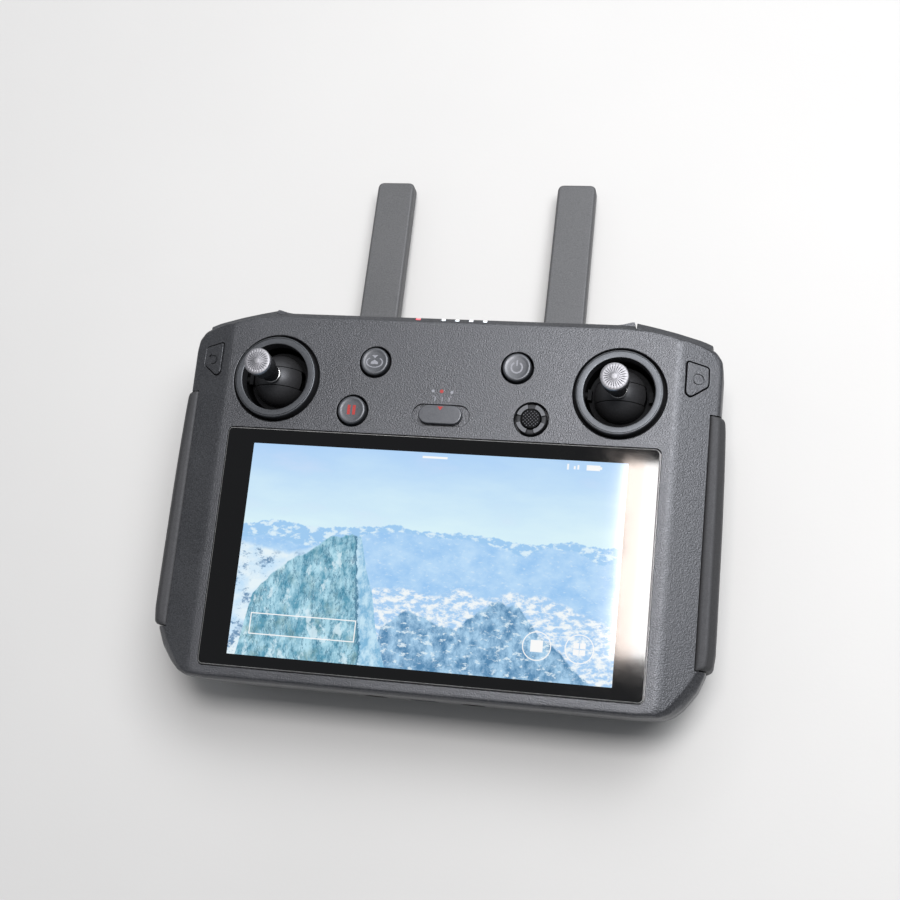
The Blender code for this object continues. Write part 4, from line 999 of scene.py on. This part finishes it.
def back_mouth(outline, high, lip):
    """Cutter for a hole in the back face with a rounded mouth; the back faces -Z."""
    face = -CENTRE_BACK
    curve = [(grow * lip, face + rise * lip) for grow, rise in ((1.1, -0.08), (0.45, 0.12), (0.12, 0.5))]
    return stacked(outline, ((1.1 * lip, face - 1.2), *curve, (0.0, face + lip), (0.0, high)))


def port_prism(name, grow, start, end):
    x, end_side, size, radius = PORTS[name]
    edge = TOP_EDGE if end_side > 0 else BOTTOM_EDGE
    outline = rounded_rect(size[0] + 2 * grow, size[1] + 2 * grow, max(radius + grow, 0.2), steps=5)
    bm = prism(outline, -end, -start)
    bm.transform(Matrix.Translation((x, edge, PORT_Z)) @ Matrix.Rotation(-QUARTER * end_side, 4, "X"))
    return bm


def build_rear_casing():
    shell = solid("rear_casing", rear_casing())
    carve(shell, [solid("cavity", rear_cavity())])
    lugs = []
    for _, side in SIDES:
        for edge in (-1, 1):
            x = side * ANTENNA_X + edge * (ANTENNA_WIDTH / 2.0 + 1.9)
            outline = rounded([(-3.6, -3.2), (3.6, -3.2), (3.6, 4.2), (-3.6, 4.2)], 2.2, 7)
            lug = stacked(outline, ((-0.25, -1.3), (0.0, -1.05), (0.0, 1.05), (-0.25, 1.3)))
            turn = Matrix.Rotation(QUARTER, 3, "X") @ Matrix.Rotation(QUARTER, 3, "Y")
            lugs.append(solid("lug", lug, (x, HINGE_Y, HINGE_Z), turn))
    fuse(shell, lugs)
    holes = []
    for name, centre, size, count, pitch in (
        ("intake", FAN_CENTRE, (26.0, 2.2), 6, 4.6),
        ("speaker_slot", SPEAKER_CENTRE, (12.0, 1.3), 3, 3.0),
    ):
        for i in range(count):
            y = centre[1] + (i - (count - 1) / 2.0) * pitch
            holes.append(solid(name, back_mouth(stadium(*size, (centre[0], y), 8), BACK_INNER, 0.3)))
    tray = rounded_rect(TRAY_SIZE[0] + 2 * GAP, TRAY_SIZE[1] + 2 * GAP, 2.0, (0.0, TRAY_Y))
    holes.append(solid("tray_hole", back_mouth(tray, BACK_INNER, 0.3)))
    for _, side in SIDES:
        holes.append(solid("pin_bore", rod(PIN_R + 0.3, 24.0, 24, "X"), (side * ANTENNA_X, HINGE_Y, HINGE_Z)))
        holes.append(solid("key_pocket", key_pocket(side)))
        holes.append(solid("pad_recess", pad_recess(side)))
        dial = circle(DIAL_R + 0.5, 64, (side * DIAL_CENTRE[0], DIAL_CENTRE[1]))
        holes.append(solid("dial_slot", prism(dial, DIAL_BACK - 0.4, DIAL_FRONT + 0.4)))
        button = circle(BUTTON_R + GAP, 48, (side * REAR_BUTTON[0], REAR_BUTTON[1]))
        holes.append(solid("rear_button_hole", prism(button, -29.5, BACK_INNER)))
        for x, y in REAR_SCREWS:
            centre = (side * x, y)
            holes.append(solid("screw_head_hole", prism(circle(2.6, 28, centre), -29.0, SCREW_SEAT)))
            holes.append(solid("screw_hole", prism(circle(1.4, 16, centre), SCREW_SEAT - 0.1, BACK_INNER)))
        insert = (side * INSERT_X, BOTTOM_EDGE + 1.5, PORT_Z)
        holes.append(solid("insert_hole", rod(INSERT_R + GAP, 6.0, 40, "Y"), insert))
    for name in PORTS:
        holes.append(solid(name + "_hole", port_prism(name, GAP, -1.0, 4.0)))
    carve(shell, holes)
    finish_piece(shell, "shell_plastic", "housing", ["rear_shell"])


def build_pads():
    for label, side in SIDES:
        bm = pad_piece(side)
        piece("side_pad_" + label, bm, "grip_rubber", "housing", ["grip_pad_" + label])


# Screen

def build_screen():
    outline = rounded_rect(*GLASS_SIZE, GLASS_RADIUS, (0.0, SCREEN_Y), 8)
    border = solid("cover_glass", stacked(outline, button_levels(-1.0, GLASS_TOP, 0.4)))
    window = rounded_rect(*LIT_SIZE, 0.15, (0.0, 0.0), 2)
    carve(border, [solid("window", prism(window, -2.0, 2.0))])
    finish_piece(border, "screen_glass", "housing", ["screen_glass"])
    # Thin light grey rim over the glass's top edge: a painted highlight for the bright line its bevel
    # reflects.
    rim = stacked(outline, ((0.012, -0.4), (0.012, 0.12), (-0.036, 0.315), (-0.165, 0.468), (-0.24, 0.502)))
    edge = solid("glass_edge", rim)
    carve(edge, [solid("inside", prism(offset(outline, -0.23), -1.0, 1.0))])
    finish_piece(edge, "glass_edge", "housing")
    pane = stacked(window, ((0.0, -1.0), (0.0, GLASS_TOP - 0.005)))
    piece("lit_pane", pane, "display", "housing")


# Gimbals

def sphere_band(inner, outer, last_angle, skirt):
    steps = 14
    angles = [math.radians(last_angle) * i / steps for i in range(steps + 1)]
    outside = [(outer * math.sin(a), outer * math.cos(a)) for a in angles]
    inside = [(inner * math.sin(a), inner * math.cos(a)) for a in reversed(angles)]
    rim = [(outer, -skirt), (inner, -skirt)] if skirt else []
    return outside + rim + inside


CAP_SEGMENTS = 120


def cap_top_shape(step, row):
    """24 radial grooves cut in the cap's top face between its plateau and its rim."""
    return (0.0, -0.15) if row in (5, 6) and step % 5 == 0 else (0.0, 0.0)


def knurl_shape(step, row):
    """Diamond knurl on the cap's flank."""
    if not 3 <= row <= 12:
        return 0.0, 0.0
    return (0.11, 0.0) if (step // 2 + row) % 2 else (-0.05, 0.0)


def build_gimbal(label, side):
    centre = (side * GIMBAL_X, GIMBAL_Y, 0.0)
    pivot = (side * GIMBAL_X, GIMBAL_Y, PIVOT_Z)
    ring = [(RING_INNER_R, -2.6), (RING_R, -2.6)]
    ring += steps_from(
        RING_R, RING_TOP, (0.0, -0.55), (-0.06, -0.32), (-0.22, -0.17), (-0.40, -0.14),
        (-0.46, -0.42), (-0.62, -0.42), (-0.68, -0.03), (-0.80, 0.0))
    ring += steps_from(RING_INNER_R, RING_TOP, (0.42, 0.0), (0.14, -0.10), (0.0, -0.36))
    bm = turned(ring, 128, True)
    node = "gimbal_ring_" + label
    piece("trim_ring_" + label, bm, "ring_plastic", "housing", [node], centre)

    cup = [(0.0, -16.4), (13.0, -16.4), (13.0, -4.3), (15.3, -4.3), (15.3, -2.9), (11.4, -2.9)]
    cup += [(11.4, -14.6), (0.0, -14.6)]
    well = solid("gimbal_well_" + label, turned(cup, 96), centre)
    carve(well, [solid("trunnion_socket", rod(1.5, 26.8, 24, "X"), pivot)])
    # The cup's near-black colour is partly painted shade down inside the gimbal well.
    finish_piece(well, "well_plastic", "housing", ["gimbal_cup_" + label])

    yoke = solid("dome_" + label, turned(sphere_band(7.3, DOME_R, 90.0, 3.4), 96), pivot)
    carve(yoke, [solid("slider_slot", block((0.0, 0.0, 3.4), (20.0, 6.5, 13.8)), pivot)])
    collar = turned([(8.3, -3.4), (10.3, -3.4), (10.3, -1.7), (10.1, -1.5), (8.3, -1.5)], 96, True)
    finish_piece(yoke, "dome_plastic", "yoke_" + label, ["gimbal_yoke_" + label])
    frame_ring = solid("yoke_frame_" + label, collar, pivot)
    parts = []
    for end in (-1, 1):
        parts.append(solid("boss", block((end * 9.65, 0.0, -1.0), (1.2, 3.4, 4.6)), pivot))
        parts.append(solid("trunnion", rod(1.15, 3.0, 24, "X"), (pivot[0] + end * 11.3, pivot[1], pivot[2])))
    fuse(frame_ring, parts)
    # The collar and bosses take the near-black well colour: painted shade where they sit down in the gimbal
    # well.
    finish_piece(frame_ring, "well_plastic", "yoke_" + label)

    slider = solid("dome_band_" + label, turned(sphere_band(7.4, DOME_R - 0.05, 73.0, 0.0), 96), pivot)
    carve(slider, [solid("trim", block((0.0, end * 8.0, 0.0), (20.0, 10.0, 20.0)), pivot) for end in (-1, 1)])
    post = solid("post", rod(1.7, 7.6, 24), (pivot[0], pivot[1], pivot[2] + 4.3))
    fuse(slider, [post, solid("cross_shaft", rod(1.1, 13.6, 24, "Y"), pivot)])
    body = "stick_" + label
    finish_piece(slider, "dome_plastic", body, ["stick_slider_" + label])

    top = STICK_TOP - PIVOT_Z
    base = DOME_R + 0.3
    stem = steps_from(
        0.0, base, (0.0, 0.0), (2.5, 0.0), (2.82, 0.12), (2.95, 0.45), (2.86, 0.82), (2.55, 1.0),
        (1.75, 1.02), (1.55, 1.2))
    for turn in range(8):
        height = base + 1.5 + turn * 0.55
        stem += [(1.5, height), (1.36, height + 0.27)]
    stem += [(1.5, base + 6.0), (0.0, base + 6.0)]
    node = "stick_stem_" + label
    piece("stem_" + label, turned(stem, 64), "bright_steel", body, [node], pivot)

    grip = steps_from(
        0.0, base + 1.5, (0.0, 5.2), (1.85, 5.2), (1.85, 0.0), (2.8, 0.0), (2.78, 3.0), (2.85, 3.8),
        (3.05, 4.6), (3.25, 5.3), (3.5, 5.9), (3.72, 6.5), (3.9, 7.1), (4.0, 7.8), (4.02, 8.7), (4.02, 9.6))
    grip += [(4.02, top - 1.5), (0.0, top - 1.5)]
    bm = turned(grip, CAP_SEGMENTS, shape=knurl_shape)
    node = "stick_cap_" + label
    piece("cap_grip_" + label, bm, "cap_dark", body, [node], pivot, sharp=50.0)
    profile = steps_from(
        0.0, top, (0.0, -1.49), (4.30, -1.49), (4.36, -0.75), (4.18, -0.32), (3.70, -0.12),
        (3.10, -0.10), (1.05, -0.10), (0.82, 0.0), (0.0, 0.02))
    bm = turned(profile, CAP_SEGMENTS, shape=cap_top_shape)
    piece("cap_top_" + label, bm, "cap_aluminium", body, (), pivot, sharp=28.0)


# Front controls

def button_profile():
    rolled = steps_from(
        BUTTON_R, BUTTON_TOP, (0.0, -0.6), (-0.06, -0.33), (-0.24, -0.11), (-0.52, 0.0),
        (-0.85, -0.01), (-1.25, -0.10), (-1.6, -BUTTON_DISH))
    return [(0.0, -3.4), (BUTTON_R, -3.4), *rolled, (0.0, BUTTON_TOP - BUTTON_DISH)]


def decal(name, outlines, look, body, at, face, thick=0.035):
    """Printed mark a few hundredths of a millimetre proud of a face."""
    bm = bmesh.new()
    for outline in outlines:
        part = prism(outline, face - 0.05, face + thick)
        mesh = bpy.data.meshes.new("part")
        part.to_mesh(mesh)
        part.free()
        bm.from_mesh(mesh)
        bpy.data.meshes.remove(mesh)
    piece(name, bm, look, body, (), at)


def closed_ring(inner, outer, centre, start, end, parts):
    """Ring as separate wedge outlines, so that every outline stays simple."""
    step = (end - start) / parts
    return [arc_band(inner, outer, start + i * step, start + (i + 1) * step, 2, centre) for i in range(parts)]


def build_round_buttons():
    for name, centre in ROUND_BUTTONS.items():
        bm = turned(button_profile(), 96)
        node = name + "_button"
        piece(name + "_key", bm, "button_plastic", name, [node], (*centre, 0.0))
    face = BUTTON_TOP - BUTTON_DISH
    home = closed_ring(1.95, 2.30, (0.0, -0.45), -232.0, 52.0, 18)
    home.append([(-0.85, 2.55), (0.0, 1.30), (0.85, 2.55)])
    home.append([(-0.95, -1.25), (0.95, -1.25), (0.95, -0.35), (0.0, 0.55), (-0.95, -0.35)])
    home = [[(1.25 * x, 0.80 * y) for x, y in outline] for outline in home]
    decal("home_icon", home, "soft_ink", "home", (*ROUND_BUTTONS["home"], 0.0), face)
    bars = [rounded_rect(0.98, 3.2, 0.12, (x, 0.0), 3) for x in (-0.88, 0.88)]
    decal("pause_icon", bars, "red_ink", "pause", (*ROUND_BUTTONS["pause"], 0.0), face)
    power = closed_ring(1.50, 2.0, (0.0, -0.15), -238.0, 58.0, 18)
    power.append(rounded_rect(0.48, 1.9, 0.1, (0.0, 1.35), 3))
    decal("power_icon", power, "soft_ink", "power", (*ROUND_BUTTONS["power"], 0.0), face)


def build_facet_buttons():
    for name, side in (("back", -1), ("confirm", 1)):
        bm = stacked(facet_outline(side), button_levels(-2.6, 0.3, 0.3))
        bm.transform(facet_matrix(side))
        key = solid(name + "_key", bm)
        centre = ((80.15 - CREASE_X) / math.cos(FACET_ANGLE) * side, 62.7)
        if side > 0:
            shapes = [arc_band(1.45, 1.92, start, start + 180.0, 20, centre) for start in (0.0, 180.0)]
        else:
            hook = (centre[0] + 0.25, centre[1] - 0.3)
            shapes = [
                arc_band(1.15, 1.65, -90.0, 90.0, 16, hook),
                steps_from(*hook, (-1.2, 1.15), (0.05, 1.15), (0.05, 1.65), (-1.2, 1.65)),
                steps_from(*hook, (-2.3, 1.40), (-1.18, 0.50), (-1.18, 2.30)),
                steps_from(*hook, (-0.9, -1.65), (0.03, -1.65), (0.03, -1.15), (-0.9, -1.15)),
            ]
        for shape in shapes:
            cut = prism(shape, -0.12, 1.0)
            cut.transform(facet_matrix(side))
            carve(key, [solid("mark", cut)])
        finish_piece(key, "shell_plastic", name, [name + "_button"])


def build_mode_switch():
    at = (*MODE_SWITCH, 0.0)
    levels = button_levels(0.35 - MODE_RECESS_DEPTH, 1.3, 0.5)
    knob = solid("mode_knob", stacked(stadium(*MODE_KNOB), levels), at)
    fuse(knob, [solid("neck", prism(stadium(*MODE_NECK), -2.8, 0.2), at)])
    fuse(knob, [solid("plate", prism(rounded_rect(15.6, 6.0, 1.0), -3.2, -2.5), at)])
    finish_piece(knob, "button_plastic", "mode", ["mode_switch"])
    pointer = [(-0.95, 2.55), (0.0, 1.30), (0.95, 2.55)]
    decal("mode_pointer", [pointer], "red_ink", "mode", at, 1.3)
    dots = [circle(0.50, 24, (-3.2, 54.6)), circle(0.50, 24, (3.0, 54.4))]
    ticks = [rounded_rect(0.26, 1.4, 0.1, (x, 52.0), 2) for x in (-2.3, 0.05, 2.3)]
    feet = [rounded_rect(0.7, 0.26, 0.1, (x, 52.9), 2) for x in (-2.85, 2.85)]
    centre = [circle(0.62, 24, (-0.35, 54.6))]
    for name, outlines, look in (
        ("mode_marks", dots + ticks + feet, "soft_ink"),
        ("mode_centre_mark", centre, "red_ink"),
    ):
        decal(name, outlines, look, "housing", (0.0, 0.0, 0.0), 0.0)


def rocker_shape(step, row):
    """Lowered saddles towards the four directions between the lobes."""
    if row < 2:
        return 0.0, 0.0
    angle = (step * 360.0 / 128.0) % 90.0
    near = min(angle, 90.0 - angle)
    return 0.0, -0.55 * (1.0 - smoothstep((near - 14.0) / 6.0))


def build_five_way():
    at = (*FIVE_WAY, 0.0)
    ring_body, cap_body = "five_way_roll_body", "five_way_push_body"
    rocker = [(3.3, -3.3), (4.9, -3.3), (4.9, 0.3), (4.82, 0.52), (4.6, 0.68), (4.2, 0.76)]
    rocker += [(3.5, 0.76), (3.32, 0.62)]
    bm = turned(rocker, 128, True, rocker_shape)
    piece("rocker_ring", bm, "soft_black", ring_body, ["five_way_rocker"], at)
    lobes = [arc_band(3.46, 4.72, start + 17.0, start + 73.0, 12) for start in (0.0, 90.0, 180.0, 270.0)]
    decal("rocker_lobes", lobes, "grip_mark", ring_body, at, 0.74, 0.10)
    cap = [(0.0, -4.6), (2.0, -4.6), (2.0, -3.4), (3.1, -3.2), (3.1, 0.75), (3.02, 0.98)]
    cap += [(2.85, 1.10), (2.6, 1.14), (0.0, 1.14)]
    piece("push_cap", turned(cap, 64), "well_plastic", cap_body, ["five_way_cap"], at)
    bm = bmesh.new()
    pitch = 0.80
    reach = 4
    corners = ((1, 0), (0, 1), (-1, 0), (0, -1))
    for i in range(-reach, reach + 1):
        for j in range(-reach, reach + 1):
            x, y = (i + j) * pitch * 0.7071, (i - j) * pitch * 0.7071
            if math.hypot(x, y) > 2.55:
                continue
            half = pitch * 0.36
            base = [bm.verts.new((x + a * half, y + b * half, 1.10)) for a, b in corners]
            crest = [bm.verts.new((x + a * half * 0.45, y + b * half * 0.62, 1.36)) for a, b in corners]
            bm.faces.new(base[::-1])
            bm.faces.new(crest)
            for k in range(4):
                bm.faces.new((base[k], base[(k + 1) % 4], crest[(k + 1) % 4], crest[k]))
    piece("push_cap_grip", bm, "grip_mark", cap_body, (), at, sharp=20.0)


def dial_shape(step, row):
    """Teeth round the dial's rim."""
    return (-0.42, 0.0) if 2 <= row <= 5 and step % 4 in (0, 1) else (0.0, 0.0)


def build_shoulder_controls():
    for body, side in (("record", -1), ("shutter", 1)):
        bm = key_piece(side)
        piece(body + "_shoulder_key", bm, "key_plastic", body, [body + "_key"])
    half = (DIAL_FRONT - DIAL_BACK) / 2.0
    middle = (DIAL_FRONT + DIAL_BACK) / 2.0
    for body, node, side in (("dial_left", "tilt_dial", -1), ("dial_right", "settings_dial", 1)):
        profile = [(0.0, -half), *steps_from(DIAL_R, -half, (-1.2, 0.0), (-0.4, 0.3), (0.0, 0.9))]
        profile += [*steps_from(DIAL_R, half, (0.0, -0.9), (-0.4, -0.3), (-1.2, 0.0)), (0.0, half)]
        at = (side * DIAL_CENTRE[0], DIAL_CENTRE[1], middle)
        bm = turned(profile, 144, shape=dial_shape)
        piece("knurled_" + body, bm, "soft_black", body, [node], at)
    for label, side in SIDES:
        dished = steps_from(
            BUTTON_R, 0.0, (-2.0, -28.85), (-1.2, -29.05), (-0.6, -29.08), (-0.2, -28.9),
            (0.0, -28.5), (0.0, -25.4), (1.0, -25.2), (1.0, -24.4))
        bm = turned([(0.0, -28.85), *dished, (0.0, -24.4)], 64)
        at = (side * REAR_BUTTON[0], REAR_BUTTON[1], 0.0)
        body, node = "rear_" + label, "rear_button_" + label
        piece("back_button_" + label, bm, "button_plastic", body, [node], at)


def build_lamps():
    bar = block((0.1, 75.3, -3.5), (26.0, 1.6, 1.9))
    piece("lamp_bar", bar, "lamp_plastic", "housing", ["light_guide"])
    side_view = ((74.8, -2.7), (79.25, -2.7), (79.35, -2.6), (79.35, -1.75))
    side_view += ((79.2, -1.5), (78.7, -1.05), (78.6, -1.0), (74.8, -1.0))
    for number, x in enumerate(LAMP_XS):
        half = 0.75 if number == 0 else 0.5
        rows = []
        for at, inset in ((-half, 0.12), (0.12 - half, 0.0), (half - 0.12, 0.0), (half, 0.12)):
            rows.append([(x + at, y - (inset if y > 77.0 else 0.0), z) for y, z in side_view])
        look = "white_lamp" if number else "red_lamp"
        piece("lamp_%d" % (number + 1), loft(rows), look, "housing")


# Antennas and back

def build_antennas():
    turn = Matrix.Rotation(-ANTENNA_LEAN, 3, "X")
    half = ANTENNA_WIDTH / 2.0
    thick = ANTENNA_THICKNESS / 2.0
    tip_half = half - 0.35
    corners = [(half, 0.0), (tip_half, ANTENNA_REACH), (-tip_half, ANTENNA_REACH), (-half, 0.0)]
    outline = [tuple(point) for point in rounded(corners, (0.0, 2.4, 2.4, 0.0), 9, closed=False)]
    roll = ((-1.0, 0.0), (-0.62, 0.10), (-0.28, 0.34), (-0.07, 0.66), (0.0, 1.0))
    levels = [(grow, -thick + rise) for grow, rise in roll]
    levels += [(grow, thick - rise) for grow, rise in reversed(roll)]
    for label, side in SIDES:
        at = (side * ANTENNA_X, HINGE_Y, HINGE_Z)
        blade = solid("blade_" + label, stacked(outline, levels), at, turn)
        fuse(blade, [solid("knuckle", rod(thick - 0.04, ANTENNA_WIDTH - 0.1, 48, "X"), at, turn)])
        carve(blade, [solid("bore", rod(PIN_R + 0.3, 20.0, 28, "X"), at, turn)])
        body = "antenna_%s_body" % label
        finish_piece(blade, "antenna_plastic", body, ["antenna_" + label])


def build_tray():
    outer = rounded_rect(*TRAY_SIZE, 1.8, (0.0, TRAY_Y))
    floor = -27.8 + TRAY_DEPTH
    levels = ((-0.25, -27.9), (0.0, -27.65), (0.0, -25.2), (1.4, -25.1), (1.4, -24.2), (-0.02, -24.1))
    tray = solid("stick_store", stacked(outer, (*levels, (-0.02, floor + 1.2))))
    pockets = []
    mouth = ((0.4, -29.0), (0.35, -27.9), (0.0, -27.4), (0.0, floor))
    for side in (-1, 1):
        centre = (side * TRAY_SIZE[0] / 4.0, TRAY_Y)
        pocket = rounded_rect(TRAY_SIZE[0] / 2.0 - 2.2, TRAY_SIZE[1] - 2.8, 2.0, centre)
        pockets.append(solid("pocket", stacked(pocket, mouth)))
    carve(tray, pockets)
    finish_piece(tray, "soft_black", "housing", ["stick_tray"])


def build_screws():
    number = 1
    for side in (-1, 1):
        for x, y in REAR_SCREWS:
            profile = [(0.0, 0.02), (1.7, 0.02), (2.0, 0.10), (2.18, 0.32), (2.2, 0.6)]
            profile += [(2.2, 1.0), (1.05, 1.0), (1.05, 7.0), (0.0, 7.2)]
            at = (side * x, y, -27.9)
            screw = solid("screw_%d" % number, turned(profile, 40), at)
            star = [circle((1.15, 0.78)[i % 2], 12)[i] for i in range(12)]
            star = [tuple(point) for point in rounded(star, 0.22, 3)]
            carve(screw, [solid("drive", prism(star, -0.5, 0.85), at)])
            finish_piece(screw, "screw_steel", "housing", ["rear_screw_%d" % number])
            number += 1


def dress_cad():
    """Give every CAD node that stays visible the finer look of its slot."""
    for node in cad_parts.values():
        for i, material in enumerate(node.data.materials):
            node.data.materials[i] = LOOKS[material.name.split(".")[0]]


# Studio

def area_light(name, at, target, size, power, colour=(1.0, 1.0, 1.0)):
    data = bpy.data.lights.new(name, "AREA")
    data.shape = "RECTANGLE"
    data.size, data.size_y = size
    data.energy = power
    data.color = colour
    made = bpy.data.objects.new(name, data)
    made.location = at
    made.rotation_euler = (Vector(target) - Vector(at)).to_track_quat("-Z", "Y").to_euler()
    SCENE.collection.objects.link(made)


def build_studio():
    bm = bmesh.new()
    bmesh.ops.create_grid(bm, x_segments=2, y_segments=2, size=2.5)
    mesh = bpy.data.meshes.new("floor")
    bm.to_mesh(mesh)
    bm.free()
    floor = bpy.data.objects.new("floor", mesh)
    floor.location.z = -0.0002
    SCENE.collection.objects.link(floor)
    look = Look("floor", 0.6)
    tone = look.noise(9.0, 4.0)
    look.set("Base Color", look.mix(tone, (0.53, 0.53, 0.53), (0.57, 0.57, 0.57)))
    look.set("Normal", look.bump(look.noise(700.0, 3.0), 0.02))
    mesh.materials.append(look.material)

    world = bpy.data.worlds.new("studio")
    world.use_nodes = True
    background = world.node_tree.nodes["Background"]
    background.inputs["Color"].default_value = (0.93, 0.96, 1.0, 1.0)
    background.inputs["Strength"].default_value = 0.20
    SCENE.world = world

    for light in (
        # name, place, target, size, watts, colour
        ("key_left", (-0.95, 0.10, 0.95), (0.0, 0.0, 0.0), (0.7, 0.9), 0.9),
        ("key_front", (0.15, -1.05, 0.85), (0.0, 0.0, 0.0), (1.0, 0.6), 0.25),
        ("wall", (-0.10, 1.50, 0.70), (0.0, 0.0, 0.0), (2.2, 0.8), 4.5),
        ("key_top", (0.50, 0.36, 1.10), (0.10, 0.0, 0.0), (0.7, 0.6), 10.6),
        ("key_back", (0.20, 0.72, 1.02), (0.0, 0.05, 0.0), (1.1, 0.5), 5.2),
        ("strip", (0.122, 0.090, 0.94), (0.122, 0.090, 0.0), (0.252, 0.186), 4.4, (1.0, 0.98, 0.97)),
        ("strip_border", (-0.014, 0.090, 0.94), (-0.014, 0.090, 0.0), (0.02, 0.186), 0.34, (1.0, 0.86, 0.78)),
    ):
        area_light(*light)

    data = bpy.data.cameras.new("camera")
    data.sensor_width = 36.0
    data.lens = CAMERA_LENS
    data.clip_start = 0.01
    camera = bpy.data.objects.new("camera", data)
    axes = Matrix((CAMERA_RIGHT, CAMERA_UP, CAMERA_BACK)).transposed().to_4x4()
    camera.matrix_world = Matrix.Translation(TO_ROW @ Vector(CAMERA_PLACE)) @ axes
    SCENE.collection.objects.link(camera)
    SCENE.camera = camera
    SCENE.view_settings.view_transform = "Standard"


dress_cad()
build_front_casing()
build_rear_casing()
build_pads()
build_screen()
for side_label, side_sign in SIDES:
    build_gimbal(side_label, side_sign)
build_round_buttons()
build_facet_buttons()
build_mode_switch()
build_five_way()
build_shoulder_controls()
build_lamps()
build_antennas()
build_tray()
build_screws()
build_studio()
